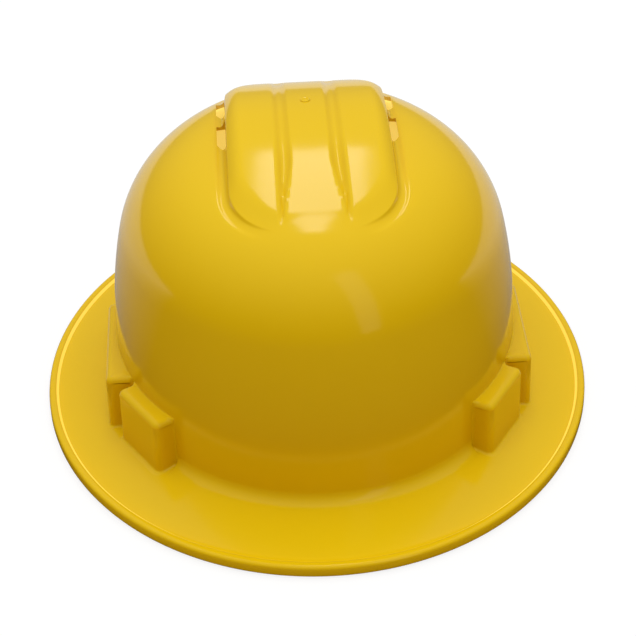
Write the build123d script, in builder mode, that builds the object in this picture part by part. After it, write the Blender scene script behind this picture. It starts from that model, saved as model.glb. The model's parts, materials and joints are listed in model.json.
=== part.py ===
from build123d import *
from math import asin, atan2, cos, degrees, hypot, pi, radians, sin, tan
import os

# Full brim hard hat with a four point ratchet suspension, in millimetres.
# The hat rests on the rim of its brim at z = 0, with its front towards -Y and +Z up.

# Shell plan and height
brim_half_width = 140.0
brim_half_length = 158.2
dome_half_width = 102.0
dome_rise = 130.0
brim_root_height = 11.0
crown_radius = 627.0
crown_turn = 4.3
shoulder_radius = 54.8
shoulder_turn = 77.7
wall = 2.6
overrun = 2.0

# Brim and rim
rim_width = 5.2
rim_height = 6.4
rim_land = 2.4
rim_round = 1.4
foot_trim = 0.3
brim_edge_top = 4.7
root_fillet = 6.5

# Raised crown panel with its three ribs
panel_half_width = 39.0
panel_front = -61.0
panel_rear = 84.0
panel_top = 150.4
panel_summit_y = 16.0
panel_front_radius = 260.0
panel_rear_radius = 122.0
panel_edge_drop = 4.6
panel_corner = 26.0
panel_depth = 34.0
panel_turn_share = 1.1
valley_centre = 12.8
valley_half_width = 3.2
valley_floor_half = 0.9
valley_depth = 2.6
rib_round = 2.0
side_rib_round = 7.0
gate_radius = 2.0
gate_height = 0.7
gate_y = 29.5

# Channels and vents beside the panel
channel_width = 5.0
channel_depth = 1.2
channel_front = -46.0
channel_rear = 76.0
vent_width = 4.6
vent_length = 27.0
vent_bridge = 6.0
vent_middle_y = 30.0
vent_nose = 8.0

# Bosses around the foot of the dome
boss_low = 9.2
boss_height = 39.0
boss_projection = 9.0
boss_width = 37.0
boss_round = 2.4
boss_top_round = 1.6
front_boss_azimuth = 52.0
rear_boss_azimuth = 122.0
side_boss_face = 107.0
side_boss_front = -46.0
side_boss_rear = 22.0
slot_wall = 2.3

# Pockets for the suspension keys and slots for accessories
pocket_width = 29.4
pocket_start = 0.8
pocket_depth = 5.4
pocket_top = 33.0
slot_length = 30.0
slot_depth = 4.5
slot_front = -43.0

# Suspension keys
key_clearance = 0.3
key_foot_low = 6.2
key_foot_high = 8.6
key_tab_top = 31.0
key_bar_thickness = 2.8
key_slot_width = 1.8
key_inner_end = 8.0
key_ear_reach = 1.6
key_slot_half = 10.3

# Crown straps of webbing
strap_width = 19.0
strap_thickness = 1.2
strap_outer_inset = 3.7
strap_loop_front = 9.5
strap_loop_bend = 11.0
strap_sewn_low = 17.0
strap_sewn_high = 26.0
strap_spring_height = 50.0
strap_top = 104.0
strap_spring_inset = 7.0
strap_gap = 0.9

# Headband
band_thickness = 1.8
band_low = 10.0
band_high = 42.0
band_front_y = -109.0
band_side_y = -18.0
band_side_radius = 148.0
band_samples = 200
band_brow_turn = 50.0
band_side_turn = 115.0
band_arc_reach = 41.0
hinge_gap = 0.6
tail_height = 22.0
tail_end_wall = 4.0
tail_round = 3.0
rack_radius = 200.0
layer_gap = 0.4
band_slots = 3
band_slot_length = 16.0
band_slot_height = 4.0
band_slot_spacing = 23.0
band_slot_z = 34.0
band_slot_front = -32.0
guide_height = 24.0
guide_start = 42.5
guide_end = 62.0

# Ratchet gearing
gear_module = 1.0
pinion_teeth = 12
pressure_angle = 25.0
addendum_share = 0.9
dedendum_share = 1.2
flank_shares = (0, 0.35, 0.7, 1)
backlash = 0.24
tighten_travel = 22.0
loosen_travel = 10.0
window_gap = 1.5

# Ratchet housing
housing_half_width = 17.0
housing_height = 38.0
housing_round = 3.0
base_thickness = 2.0
cover_thickness = 2.4
running_gap = 0.3
shaft_radius = 3.5
journal_radius = 2.5
shaft_clearance = 0.06
detent_count = 24
detent_outer = 12.0
detent_root = 10.6
detent_tip = 9.9
detent_height = 2.6
housing_screw_radius = 1.3
housing_screw_head = 2.3
housing_screw_recess = 1.1
housing_screw_head_height = 0.9
housing_screw_length = 6.0
housing_screw_x = 12.5
housing_screw_rise = 14.8

# Knob and what turns with it
knob_radius = 15.5
knob_height = 11.5
knob_lobes = 14
knob_lobe_radius = 2.2
knob_lobe_share = 0.55
knob_wall = 2.2
knob_skirt_gap = 0.5
knob_floor = 3.6
knob_round = 1.0
pawl_thickness = 1.8
pawl_hub_radius = 5.6
pawl_arm_width = 1.4
pawl_arms = 3
pawl_tip_gap = 0.15
shaft_flat = 2.6
drive_clearance = 0.1
knob_screw_radius = 1.3
knob_screw_head = 3.0
knob_screw_head_height = 1.4
knob_screw_recess = 1.6
knob_screw_length = 7.2
knob_screw_hole = 9.0
screw_drive_width = 0.7
screw_drive_depth = 0.8

# Pads, hangers and studs
brow_pad_thickness = 5.0
pad_overhang = 1.5
pad_round = 1.8
brow_pad_end_y = -62.0
nape_pad_thickness = 4.0
hanger_thickness = 1.2
hanger_width = 27.0
hanger_top = 34.0
hanger_bend = 1.2
hanger_tongue = 13.0
stud_radius = 2.0
stud_head_radius = 3.6
stud_head_height = 0.9
stud_gap = 0.15
stud_z = 28.0

# Worked out sizes
plan_ratio = brim_half_length / brim_half_width
dome_half_length = dome_half_width * plan_ratio
dome_top = brim_root_height + dome_rise
rack_z = (band_low + band_high) / 2
pitch_radius = gear_module * pinion_teeth / 2
pinion_outer = pitch_radius + gear_module * addendum_share
pinion_root = pitch_radius - gear_module * dedendum_share
layer_step = (band_thickness + layer_gap) / 2
rack_y = band_front_y + rack_radius
inner_layer = rack_radius - layer_step
outer_layer = rack_radius + layer_step
slot_inner = inner_layer - band_thickness / 2 - running_gap
slot_outer = outer_layer + band_thickness / 2 + running_gap
base_inner = slot_inner - base_thickness
cover_outer = slot_outer + cover_thickness
cover_face_y = band_front_y + cover_outer


def save(name, part):
    """Label one finished piece and write it as its own file."""
    part.label = name
    export_step(part, f"parts/{name}.step")


os.makedirs("parts", exist_ok=True)

# Shell: sections made of tangent arcs, revolved and stretched to the oval plan
dome_foot = brim_root_height + root_fillet + wall
rim_inner = brim_half_width - rim_width
brim_slope = (brim_root_height - brim_edge_top) / (rim_inner - dome_half_width)
under_edge = brim_edge_top - wall
under_inner = under_edge + brim_slope * (rim_width + brim_half_width - dome_half_width)
foot_outer = brim_half_width - rim_round
foot_inner = foot_outer - rim_land
foot_lean = (foot_inner - rim_inner) / under_edge
crown_hub = (0, dome_top - crown_radius)
shoulder_hub = (
    (crown_radius - shoulder_radius) * sin(radians(crown_turn)),
    crown_hub[1] + (crown_radius - shoulder_radius) * cos(radians(crown_turn)),
)
turned = sin(radians(shoulder_turn))
side_radius = (dome_half_width - shoulder_hub[0] - shoulder_radius * turned) / (1 - turned)
side_hub = (
    dome_half_width - side_radius,
    shoulder_hub[1] - (side_radius - shoulder_radius) * cos(radians(shoulder_turn)),
)


def dome_curve(inset):
    """The dome's crown, shoulder and side, as tangent arcs from the axis to the foot."""
    CenterArc(crown_hub, crown_radius - inset, 90 - crown_turn, crown_turn)
    CenterArc(
        shoulder_hub, shoulder_radius - inset, 90 - shoulder_turn, shoulder_turn - crown_turn
    )
    CenterArc(side_hub, side_radius - inset, 0, 90 - shoulder_turn)
    Line((dome_half_width - inset, side_hub[1]), (dome_half_width - inset, dome_foot))


def dome_solid(inset):
    """The space inside the dome's surface, drawn in by an inset, down to the floor."""
    with BuildPart() as dome:
        with BuildSketch(Plane.XZ):
            with BuildLine():
                dome_curve(inset)
                Polyline(
                    (dome_half_width - inset, dome_foot),
                    (dome_half_width - inset, 0),
                    (0, 0),
                    (0, dome_top - inset),
                )
            make_face()
        revolve(axis=Axis.Z)
        scale(by=(1, plan_ratio, 1))
    return dome.part


with BuildPart() as shell_body:
    with BuildSketch(Plane.XZ) as shell_section:
        with BuildLine():
            dome_curve(0)
            Polyline(
                (dome_half_width, dome_foot),
                (dome_half_width, brim_root_height),
                (rim_inner, brim_edge_top),
                (rim_inner + rim_round, rim_height),
                (brim_half_width, rim_height),
                (brim_half_width, rim_round),
                (foot_outer - foot_trim, -foot_trim),
                (foot_inner + foot_trim * foot_lean, -foot_trim),
                (rim_inner, under_edge),
                (dome_half_width - 2 * wall, under_inner),
                (0, under_inner),
                (0, dome_top),
            )
        make_face()
        root_corner = (dome_half_width, brim_root_height)
        fillet(shell_section.vertices().sort_by_distance(root_corner)[0], root_fillet)
        rim_corners = shell_section.vertices().filter_by(
            lambda v: v.X > rim_inner and rim_height - rim_round / 2 < v.Y < brim_root_height
        )
        fillet(rim_corners, rim_round)
    revolve(axis=Axis.Z)
    scale(by=(1, plan_ratio, 1))
    # The rim's foot is trimmed to the flat land that the hat rests on
    split(bisect_by=Plane.XY)


# Raised crown panel: a ribbed section turned about two level axes, cut to a rounded plan
panel_middle_y = (panel_front + panel_rear) / 2
panel_length = panel_rear - panel_front


def crown_panel(inset):
    """The raised panel as a block, drawn in by an inset on every side."""
    half = panel_half_width - inset
    top = panel_top - inset
    rib_edge = valley_centre - valley_half_width
    side_edge = valley_centre + valley_half_width
    outline = [
        (0, top),
        (rib_edge, top),
        (valley_centre - valley_floor_half, top - valley_depth),
        (valley_centre + valley_floor_half, top - valley_depth),
        (side_edge, top),
        (half - panel_edge_drop * 2, top),
        (half, top - panel_edge_drop),
        (half, top - panel_depth),
    ]
    mirrored = [(-x, z) for x, z in reversed(outline[1:])]
    sweeps = (
        (panel_front_radius, panel_summit_y - panel_front + overrun),
        (-panel_rear_radius, panel_rear + overrun - panel_summit_y),
    )
    with BuildPart() as block:
        for radius, reach in sweeps:
            with BuildSketch(Plane.XZ.offset(-panel_summit_y)) as ribs:
                with BuildLine():
                    Polyline(*outline, *mirrored, close=True)
                make_face()
                soft = ribs.vertices().filter_by(lambda v: v.Y > top - valley_depth - wall / 2)
                fillet(soft.filter_by(lambda v: 0 < abs(v.X) < side_edge + wall), rib_round / 2)
                fillet(soft.filter_by(lambda v: abs(v.X) > side_edge + wall), side_rib_round)
            axis = Axis((0, panel_summit_y, panel_top - abs(radius)), (1, 0, 0))
            angle = degrees(reach / abs(radius)) * panel_turn_share
            revolve(axis=axis, revolution_arc=angle if radius > 0 else -angle)
        with BuildSketch(Plane.XY):
            with Locations((0, panel_middle_y)):
                RectangleRounded(2 * half, panel_length - 2 * inset, panel_corner - inset)
        extrude(amount=panel_top + overrun, mode=Mode.INTERSECT)
    return block.part


def vent_outline(y_start, direction):
    """One vent in plan: a slot with a pointed front nose, beside the panel wall."""
    near = panel_half_width + channel_depth / 2
    far = near + vent_width
    points = [(near, y_start), (near, y_start + vent_length), (far, y_start + vent_length)]
    points += [(far, y_start + vent_nose)]
    return [(direction * x, y) for x, y in points]


# Boss frames: local x runs along the wall, local y points out of it, local z is up
def wall_plane(azimuth):
    """A level frame on the dome's wall, at an azimuth from the front (-Y) towards +X."""
    dx, dy = sin(radians(azimuth)), -cos(radians(azimuth))
    reach = 1 / hypot(dx / dome_half_width, dy / dome_half_length)
    x, y = dx * reach, dy * reach
    nx, ny = x / dome_half_width**2, y / dome_half_length**2
    size = hypot(nx, ny)
    return Plane(origin=(x, y, 0), x_dir=(ny / size, -nx / size, 0), z_dir=(0, 0, 1))


def upright(plane):
    """The frame's upright plane square to the wall: local x points out, local y is up."""
    return Plane(origin=plane.origin, x_dir=plane.y_dir, z_dir=plane.x_dir)


key_planes = {
    "front_left": wall_plane(-front_boss_azimuth),
    "front_right": wall_plane(front_boss_azimuth),
    "rear_left": wall_plane(-rear_boss_azimuth),
    "rear_right": wall_plane(rear_boss_azimuth),
}
cavity = dome_solid(wall)
panel_blank = crown_panel(0)
panel_recess = crown_panel(wall)
groove_floor = dome_solid(channel_depth)

side_boss_inner = dome_half_width - boss_projection - wall * 2
with BuildPart() as bosses:
    for plane in key_planes.values():
        with BuildSketch(plane.offset(boss_low)):
            with Locations((0, (boss_projection - wall / 2) / 2)):
                Rectangle(boss_width, boss_projection + wall / 2)
        extrude(amount=boss_height - boss_low)
    for side in (-1, 1):
        with BuildSketch(Plane.XY.offset(boss_low)):
            middle = (side_boss_front + side_boss_rear) / 2
            with Locations((side * (side_boss_inner + side_boss_face) / 2, middle)):
                Rectangle(side_boss_face - side_boss_inner, side_boss_rear - side_boss_front)
        extrude(amount=boss_height - boss_low)
    fillet(bosses.edges().filter_by(Axis.Z), boss_round)
    fillet(bosses.faces().filter_by(Axis.Z).group_by(Axis.Z)[-1].edges(), boss_top_round)

with BuildPart() as channels:
    with BuildSketch(Plane.XY.offset(dome_foot)):
        middle = panel_half_width + (channel_width - overrun) / 2
        with Locations(*[(s * middle, (channel_front + channel_rear) / 2) for s in (-1, 1)]):
            RectangleRounded(
                channel_width + overrun, channel_rear - channel_front, channel_width / 2
            )
    extrude(amount=dome_top)
    add(groove_floor, mode=Mode.SUBTRACT)

with BuildPart() as shell:
    add(shell_body.part)
    add(channels.part, mode=Mode.SUBTRACT)
    add(panel_blank)
    add(bosses.part)
    add(cavity, mode=Mode.SUBTRACT)
    add(panel_recess, mode=Mode.SUBTRACT)
    # Pockets for the keys, open below the brim
    for plane in key_planes.values():
        with BuildSketch(plane):
            with Locations((0, pocket_start + pocket_depth / 2)):
                Rectangle(pocket_width, pocket_depth)
        extrude(amount=pocket_top, mode=Mode.SUBTRACT)
    # Accessory slots in the side bosses, open below the brim
    with BuildSketch(Plane.XY):
        slot_middle = side_boss_face - slot_wall - slot_depth / 2
        with Locations(*[(s * slot_middle, slot_front + slot_length / 2) for s in (-1, 1)]):
            Rectangle(slot_depth, slot_length)
    extrude(amount=pocket_top, mode=Mode.SUBTRACT)
    # Two vents on each side of the panel
    first_vent = vent_middle_y - vent_bridge / 2 - vent_length
    second_vent = vent_middle_y + vent_bridge / 2
    with BuildSketch(Plane.XY.offset(dome_top - panel_depth)):
        for start in (first_vent, second_vent):
            for side in (-1, 1):
                with BuildLine():
                    Polyline(*vent_outline(start, side), close=True)
                make_face()
    extrude(amount=dome_top, mode=Mode.SUBTRACT)
    # The small mark left by the moulding gate
    gate_z = panel_top - (gate_y - panel_summit_y) ** 2 / (2 * panel_rear_radius)
    with BuildSketch(Plane.XY.offset(gate_z - wall / 2)):
        with Locations((0, gate_y)):
            Circle(gate_radius)
    extrude(amount=gate_height + wall / 2)
save("shell", shell.part)

# Suspension keys: a tab in the pocket, a foot under the wall and a bar for the webbing
tab_half = pocket_width / 2 - key_clearance
tab_inner = pocket_start + key_clearance
tab_outer = pocket_start + pocket_depth - key_clearance
ear_end = key_inner_end + key_ear_reach
bar_outer = key_inner_end - key_bar_thickness
for name, plane in key_planes.items():
    with BuildPart() as key:
        with BuildSketch(plane.offset(key_foot_low)):
            with Locations((0, (tab_outer - ear_end) / 2)):
                Rectangle(2 * tab_half, tab_outer + ear_end)
        extrude(amount=key_foot_high - key_foot_low)
        with BuildSketch(plane.offset(key_foot_low)):
            with Locations((0, (tab_inner + tab_outer) / 2)):
                Rectangle(2 * tab_half, tab_outer - tab_inner)
        extrude(amount=key_tab_top - key_foot_low)
        top_edges = key.faces().sort_by(Axis.Z)[-1].edges()
        chamfer(top_edges, tab_inner)
        with BuildSketch(plane.offset(key_foot_low)):
            with Locations((0, -bar_outer + key_slot_width / 2)):
                Rectangle(2 * key_slot_half, key_slot_width)
            with Locations((0, -key_inner_end - key_ear_reach / 2)):
                Rectangle(2 * key_slot_half, key_ear_reach)
        extrude(amount=key_foot_high - key_foot_low, mode=Mode.SUBTRACT)
    save(f"key_{name}", key.part)

# Crown straps: a loop round each key's bar, a riser and an arch over the head
loop_low = key_foot_low - running_gap - strap_thickness
strap_inner_inset = strap_outer_inset + strap_thickness
sewn_inset = strap_inner_inset + strap_thickness
loop_outline = [
    (-strap_outer_inset, loop_low),
    (-strap_outer_inset, strap_sewn_high),
    (-strap_inner_inset, strap_sewn_high),
    (-sewn_inset, strap_sewn_high - strap_thickness),
    (-sewn_inset, strap_sewn_low),
    (-strap_loop_front, strap_loop_bend),
    (-strap_loop_front, loop_low),
]
loop_hole = [
    (-strap_inner_inset, loop_low + strap_thickness),
    (-strap_inner_inset, strap_sewn_low - strap_thickness),
    (-strap_loop_front + strap_thickness, strap_loop_bend - strap_thickness / 2),
    (-strap_loop_front + strap_thickness, loop_low + strap_thickness),
]


def crown_strap(start, end, crest):
    """Webbing from one key over the head to the key across from it."""
    feet = [key_planes[name] for name in (start, end)]
    springs = [p.origin - p.y_dir * strap_spring_inset for p in feet]
    across = (springs[1] - springs[0]).normalized()
    centre = (springs[0] + springs[1]) / 2
    half = (springs[1] - springs[0]).length / 2
    arch_plane = Plane(origin=centre, x_dir=across, z_dir=across.cross(Vector(0, 0, 1)))
    rise = crest - strap_spring_height
    with BuildPart() as strap:
        with BuildSketch(arch_plane):
            with Locations((0, strap_spring_height)):
                Ellipse(half + strap_thickness / 2, rise)
                Ellipse(half - strap_thickness / 2, rise - strap_thickness, mode=Mode.SUBTRACT)
            with Locations((0, strap_spring_height - rise)):
                Rectangle(4 * half, 2 * rise, mode=Mode.SUBTRACT)
        extrude(amount=strap_width / 2, both=True)
        for plane, way in zip(feet, (-1, 1)):
            with BuildSketch(upright(plane)):
                with BuildLine():
                    Polyline(*loop_outline, close=True)
                make_face()
                with BuildLine():
                    Polyline(*loop_hole, close=True)
                make_face(mode=Mode.SUBTRACT)
            extrude(amount=strap_width / 2, both=True)
            with BuildSketch(plane.offset(strap_sewn_high)):
                with Locations((0, -(strap_outer_inset + strap_inner_inset) / 2)):
                    Rectangle(strap_width, strap_thickness)
            spring = Plane(
                origin=centre + across * way * half + Vector(0, 0, strap_spring_height),
                x_dir=across.cross(Vector(0, 0, 1)) * way,
                z_dir=(0, 0, 1),
            )
            with BuildSketch(spring):
                Rectangle(strap_width, strap_thickness)
            loft(ruled=True)
    return strap.part


lower_strap = crown_strap("front_left", "rear_right", strap_top)
upper_strap = crown_strap("front_right", "rear_left", strap_top + strap_thickness + strap_gap)
save("crown_strap_lower", lower_strap)
save("crown_strap_upper", upper_strap)


# Headband: two halves that meet at the brow and overlap as racks at the nape
def band_path(layer, reach):
    """The right half's centre line: brow, side and corner arcs, then the tail's arc."""
    turn = asin(band_arc_reach / layer)
    h1, h2, h3 = radians(band_brow_turn), radians(band_side_turn), pi - turn
    # The brow and corner radii are what lands the three arcs on the tail's arc
    ax, bx = sin(h1), sin(h3) - sin(h2)
    ay, by = 1 - cos(h1), cos(h2) - cos(h3)
    cx = layer * sin(turn) - band_side_radius * (sin(h2) - sin(h1))
    cy = layer * cos(turn) - band_side_radius * (cos(h1) - cos(h2))
    brow_radius = (cx * by - bx * cy) / (ax * by - bx * ay)
    corner_radius = (ax * cy - cx * ay) / (ax * by - bx * ay)
    hub = Vector(0, band_front_y + brow_radius)
    brow = CenterArc(hub, brow_radius, -90, band_brow_turn)
    hub += Vector(-sin(h1), cos(h1)) * (band_side_radius - brow_radius)
    side = CenterArc(hub, band_side_radius, band_brow_turn - 90, band_side_turn - band_brow_turn)
    hub += Vector(-sin(h2), cos(h2)) * (corner_radius - band_side_radius)
    corner = CenterArc(hub, corner_radius, band_side_turn - 90, degrees(h3 - h2))
    tail = CenterArc((0, band_front_y), layer, 90 - degrees(turn), degrees(turn + reach / layer))
    return brow, side, corner, tail


tail_reach = loosen_travel + pinion_outer + window_gap + tail_end_wall
pitch_angle = degrees(gear_module * pi / rack_radius)


def rack_window(layer, row):
    """The right half's rack window as a cutter, with teeth in its top (1) or bottom (-1) row."""
    near = loosen_travel + pinion_outer + window_gap
    far = tighten_travel + pinion_outer + window_gap
    root = pitch_radius + gear_module * dedendum_share
    plain = pinion_outer + window_gap / 2
    half_tooth = gear_module * pi / 4 - backlash / 4
    slant = tan(radians(pressure_angle))
    tip_drop = gear_module * (addendum_share + dedendum_share)
    tip_half = half_tooth - gear_module * addendum_share * slant
    root_half = half_tooth + (gear_module * dedendum_share + overrun) * slant
    with BuildPart() as window:
        with BuildSketch(Plane.XY.offset(rack_z - (plain if row > 0 else root))):
            with Locations((0, band_front_y)):
                Circle(layer + band_thickness)
                Circle(layer - band_thickness, mode=Mode.SUBTRACT)
            with Locations(((far - near) / 2, rack_y)):
                Rectangle(far + near, rack_radius / 4, mode=Mode.INTERSECT)
        extrude(amount=plain + root)
        count = int(far / (gear_module * pi)) + 2
        for index in range(-count, count):
            turn = (index + 0.5) * pitch_angle
            hub = Location((0, band_front_y, 0), (0, 0, turn))
            tooth_plane = Plane(hub * Location((0, layer, rack_z), (90, 0, 0)))
            with BuildSketch(tooth_plane):
                with BuildLine():
                    Polyline(
                        (-tip_half, row * (root - tip_drop)),
                        (tip_half, row * (root - tip_drop)),
                        (root_half, row * (root + overrun)),
                        (-root_half, row * (root + overrun)),
                        close=True,
                    )
                make_face()
            extrude(amount=band_thickness, both=True, mode=Mode.SUBTRACT)
    return window.part


def headband_half(row, layer):
    """One half of the headband, drawn on the right, with its rack's row of teeth."""
    window = rack_window(layer, row)
    with BuildPart() as band:
        with BuildSketch(Plane.XY.offset(band_low)):
            with BuildLine():
                band_path(layer, tail_reach)
                offset(amount=band_thickness / 2, side=Side.BOTH)
            make_face()
        extrude(amount=band_high - band_low)
        # The tail is lower than the band, and its end is round
        tall_edge = housing_half_width + tighten_travel + running_gap
        with BuildSketch(Plane.XZ.offset(-band_side_y)) as trims:
            with Locations((0, rack_z)):
                Rectangle(2 * tall_edge, 2 * (band_high - band_low))
                kept_width = 2 * tall_edge + 2 * tail_round
                RectangleRounded(kept_width, tail_height, tail_round, mode=Mode.SUBTRACT)
        extrude(amount=-rack_radius, mode=Mode.SUBTRACT)
        # The gap of the brow's living hinge
        with BuildSketch(Plane.XY):
            with Locations((hinge_gap / 2 - band_thickness, band_front_y)):
                Rectangle(2 * band_thickness, 4 * band_thickness)
        extrude(amount=band_high, mode=Mode.SUBTRACT)
        # Long slots that lighten the side
        with BuildSketch(Plane.YZ):
            places = [band_slot_front + i * band_slot_spacing for i in range(band_slots)]
            with Locations(*[(y, band_slot_z) for y in places]):
                SlotOverall(band_slot_length, band_slot_height)
        extrude(amount=dome_half_width, mode=Mode.SUBTRACT)
        add(window, mode=Mode.SUBTRACT)
        if row > 0:
            # The guide slot that the other half's tail passes out through
            with BuildSketch(Plane.XZ.offset(-band_side_y)):
                with Locations(((guide_start + guide_end) / 2, rack_z)):
                    Rectangle(guide_end - guide_start, guide_height)
            extrude(amount=-rack_radius, mode=Mode.SUBTRACT)
    return band.part


band_right = headband_half(1, outer_layer)
band_left_drawn = headband_half(-1, inner_layer)
with BuildPart() as band_left:
    add(band_left_drawn)
    mirror(about=Plane.YZ, mode=Mode.REPLACE)


# Ratchet housing: a base towards the head and a cover over the racks
def arc_plate(inner, outer, half, low, high):
    """A plate bent about the brow hinge, between two radii, two sides and two heights."""
    with BuildPart() as plate:
        with BuildSketch(Plane.XY.offset(low)):
            with Locations((0, band_front_y)):
                Circle(outer)
                Circle(inner, mode=Mode.SUBTRACT)
            with Locations((0, rack_y)):
                Rectangle(2 * half, rack_radius / 4, mode=Mode.INTERSECT)
        extrude(amount=high - low)
        fillet(plate.edges().filter_by(Axis.Y, tolerance=0.2), housing_round)
    return plate.part


def rear_plane(y, x=0, z=rack_z):
    """An upright plane that faces +Y, with its local y up and its local x to -X."""
    return Plane(origin=(x, y, z), x_dir=(-1, 0, 0), z_dir=(0, 1, 0))


half_housing = housing_height / 2
slot_half = tail_height / 2 + running_gap
screw_places = [
    (s * housing_screw_x, rack_z + r * housing_screw_rise) for s in (-1, 1) for r in (-1, 1)
]
base_face_y = band_front_y + base_inner
split_y = band_front_y + slot_inner
base_plate = arc_plate(
    base_inner, slot_inner, housing_half_width, rack_z - half_housing, rack_z + half_housing
)
cover_block = arc_plate(
    slot_inner, cover_outer, housing_half_width, rack_z - half_housing, rack_z + half_housing
)
rack_space = arc_plate(
    slot_inner - overrun,
    slot_outer,
    housing_half_width + overrun,
    rack_z - slot_half,
    rack_z + slot_half,
)

with BuildPart() as ratchet_base:
    add(base_plate)
    with BuildSketch(rear_plane(base_face_y - overrun)):
        Circle(journal_radius + shaft_clearance)
    extrude(amount=base_thickness + 2 * overrun, mode=Mode.SUBTRACT)
    for x, z in screw_places:
        with BuildSketch(rear_plane(base_face_y - overrun, x, z)):
            Circle(housing_screw_radius + drive_clearance)
        extrude(amount=base_thickness + 2 * overrun, mode=Mode.SUBTRACT)
        with BuildSketch(rear_plane(base_face_y - overrun, x, z)):
            Circle(housing_screw_head + drive_clearance)
        extrude(amount=overrun + housing_screw_recess, mode=Mode.SUBTRACT)
save("ratchet_base", ratchet_base.part)


def detent_ring_outline():
    """The inner edge of the detent ring, as alternate roots and tips."""
    points = []
    for index in range(2 * detent_count):
        radius = detent_tip if index % 2 else detent_root
        angle = pi * index / detent_count
        points.append((radius * sin(angle), radius * cos(angle)))
    return points


with BuildPart() as ratchet_cover:
    add(cover_block)
    add(rack_space, mode=Mode.SUBTRACT)
    with BuildSketch(rear_plane(cover_face_y - cover_thickness / 2)):
        Circle(detent_outer)
    extrude(amount=cover_thickness / 2 + detent_height)
    with BuildSketch(rear_plane(cover_face_y)):
        with BuildLine():
            Polyline(*detent_ring_outline(), close=True)
        make_face()
    extrude(amount=detent_height + overrun, mode=Mode.SUBTRACT)
    with BuildSketch(rear_plane(split_y - overrun)):
        Circle(shaft_radius + shaft_clearance)
    extrude(amount=cover_outer - slot_inner + 2 * overrun, mode=Mode.SUBTRACT)
    for x, z in screw_places:
        with BuildSketch(rear_plane(split_y - overrun, x, z)):
            Circle(housing_screw_radius + drive_clearance)
        extrude(amount=overrun + housing_screw_length, mode=Mode.SUBTRACT)
save("ratchet_cover", ratchet_cover.part)

with BuildPart() as housing_screws:
    for x, z in screw_places:
        seat = base_face_y + housing_screw_recess
        with BuildSketch(rear_plane(seat, x, z)):
            Circle(housing_screw_radius)
        extrude(amount=housing_screw_length)
        with BuildSketch(rear_plane(seat, x, z)):
            Circle(housing_screw_head)
        extrude(amount=-housing_screw_head_height)
        with BuildSketch(rear_plane(seat - housing_screw_head_height, x, z)):
            Rectangle(2 * housing_screw_head, screw_drive_width)
        extrude(amount=screw_drive_depth / 2, mode=Mode.SUBTRACT)
save("housing_screws", housing_screws.part)

# Pinion: one moulded shaft with twelve teeth, a journal and a flatted drive end
pinion_low = split_y + running_gap
pinion_high = band_front_y + slot_outer - running_gap
knob_base_y = cover_face_y + knob_skirt_gap
knob_recess_y = knob_base_y + detent_height + knob_skirt_gap
knob_top_y = knob_base_y + knob_height
shaft_end_y = knob_top_y - knob_floor
drive_y = cover_face_y + running_gap


def gear_outline():
    """The pinion's teeth as straight-sided flanks on involute points."""
    base_radius = pitch_radius * cos(radians(pressure_angle))
    roll_pitch = tan(radians(pressure_angle)) - radians(pressure_angle)
    half_tooth = pi / (2 * pinion_teeth) - backlash / (4 * pitch_radius)
    start = max(base_radius, pinion_root)
    radii = [start + share * (pinion_outer - start) for share in flank_shares]
    flank = []
    for radius in radii:
        roll = max(0.0, (radius / base_radius) ** 2 - 1) ** 0.5
        flank.append((radius, half_tooth + roll_pitch - (roll - atan2(roll, 1))))
    points = []
    for index in range(pinion_teeth):
        middle = 2 * pi * index / pinion_teeth
        sides = [(pinion_root, flank[0][1])] + flank
        for radius, half in sides:
            points.append((radius * sin(middle - half), radius * cos(middle - half)))
        for radius, half in reversed(sides):
            points.append((radius * sin(middle + half), radius * cos(middle + half)))
    return points


def drive_face(clearance):
    """The shaft's drive end: a circle with two flats, opened by a clearance."""
    Circle(shaft_radius + clearance)
    Rectangle(2 * (shaft_flat + clearance), 4 * shaft_radius, mode=Mode.INTERSECT)


with BuildPart() as pinion:
    with BuildSketch(rear_plane(pinion_low)):
        with BuildLine():
            Polyline(*gear_outline(), close=True)
        make_face()
    extrude(amount=pinion_high - pinion_low)
    with BuildSketch(rear_plane(base_face_y + running_gap)):
        Circle(journal_radius)
    extrude(amount=pinion_low - base_face_y)
    with BuildSketch(rear_plane(pinion_high)):
        Circle(shaft_radius)
    extrude(amount=drive_y - pinion_high)
    with BuildSketch(rear_plane(drive_y)):
        drive_face(0)
    extrude(amount=shaft_end_y - drive_y)
    with BuildSketch(rear_plane(shaft_end_y)):
        Circle(knob_screw_radius + shaft_clearance)
    extrude(amount=-knob_screw_hole, mode=Mode.SUBTRACT)
save("pinion", pinion.part)

# Pawl ring: a hub with three springy arms that stop just short of the detents
with BuildPart() as pawl_ring:
    with BuildSketch(rear_plane(drive_y)):
        Circle(pawl_hub_radius)
        tip_radius = detent_tip - pawl_tip_gap
        orbit = (pawl_hub_radius + tip_radius) / 2
        bend = (tip_radius - pawl_hub_radius) / 2 + pawl_arm_width / 2
        for index in range(pawl_arms):
            turn = Rotation(0, 0, 360 * index / pawl_arms)
            with Locations(turn * Pos(0, orbit - pawl_arm_width / 2)):
                Circle(bend)
                Circle(bend - pawl_arm_width, mode=Mode.SUBTRACT)
        Circle(tip_radius, mode=Mode.INTERSECT)
    extrude(amount=pawl_thickness)
    with BuildSketch(rear_plane(drive_y)):
        drive_face(drive_clearance)
    extrude(amount=pawl_thickness, mode=Mode.SUBTRACT)
save("pawl_ring", pawl_ring.part)

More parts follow.
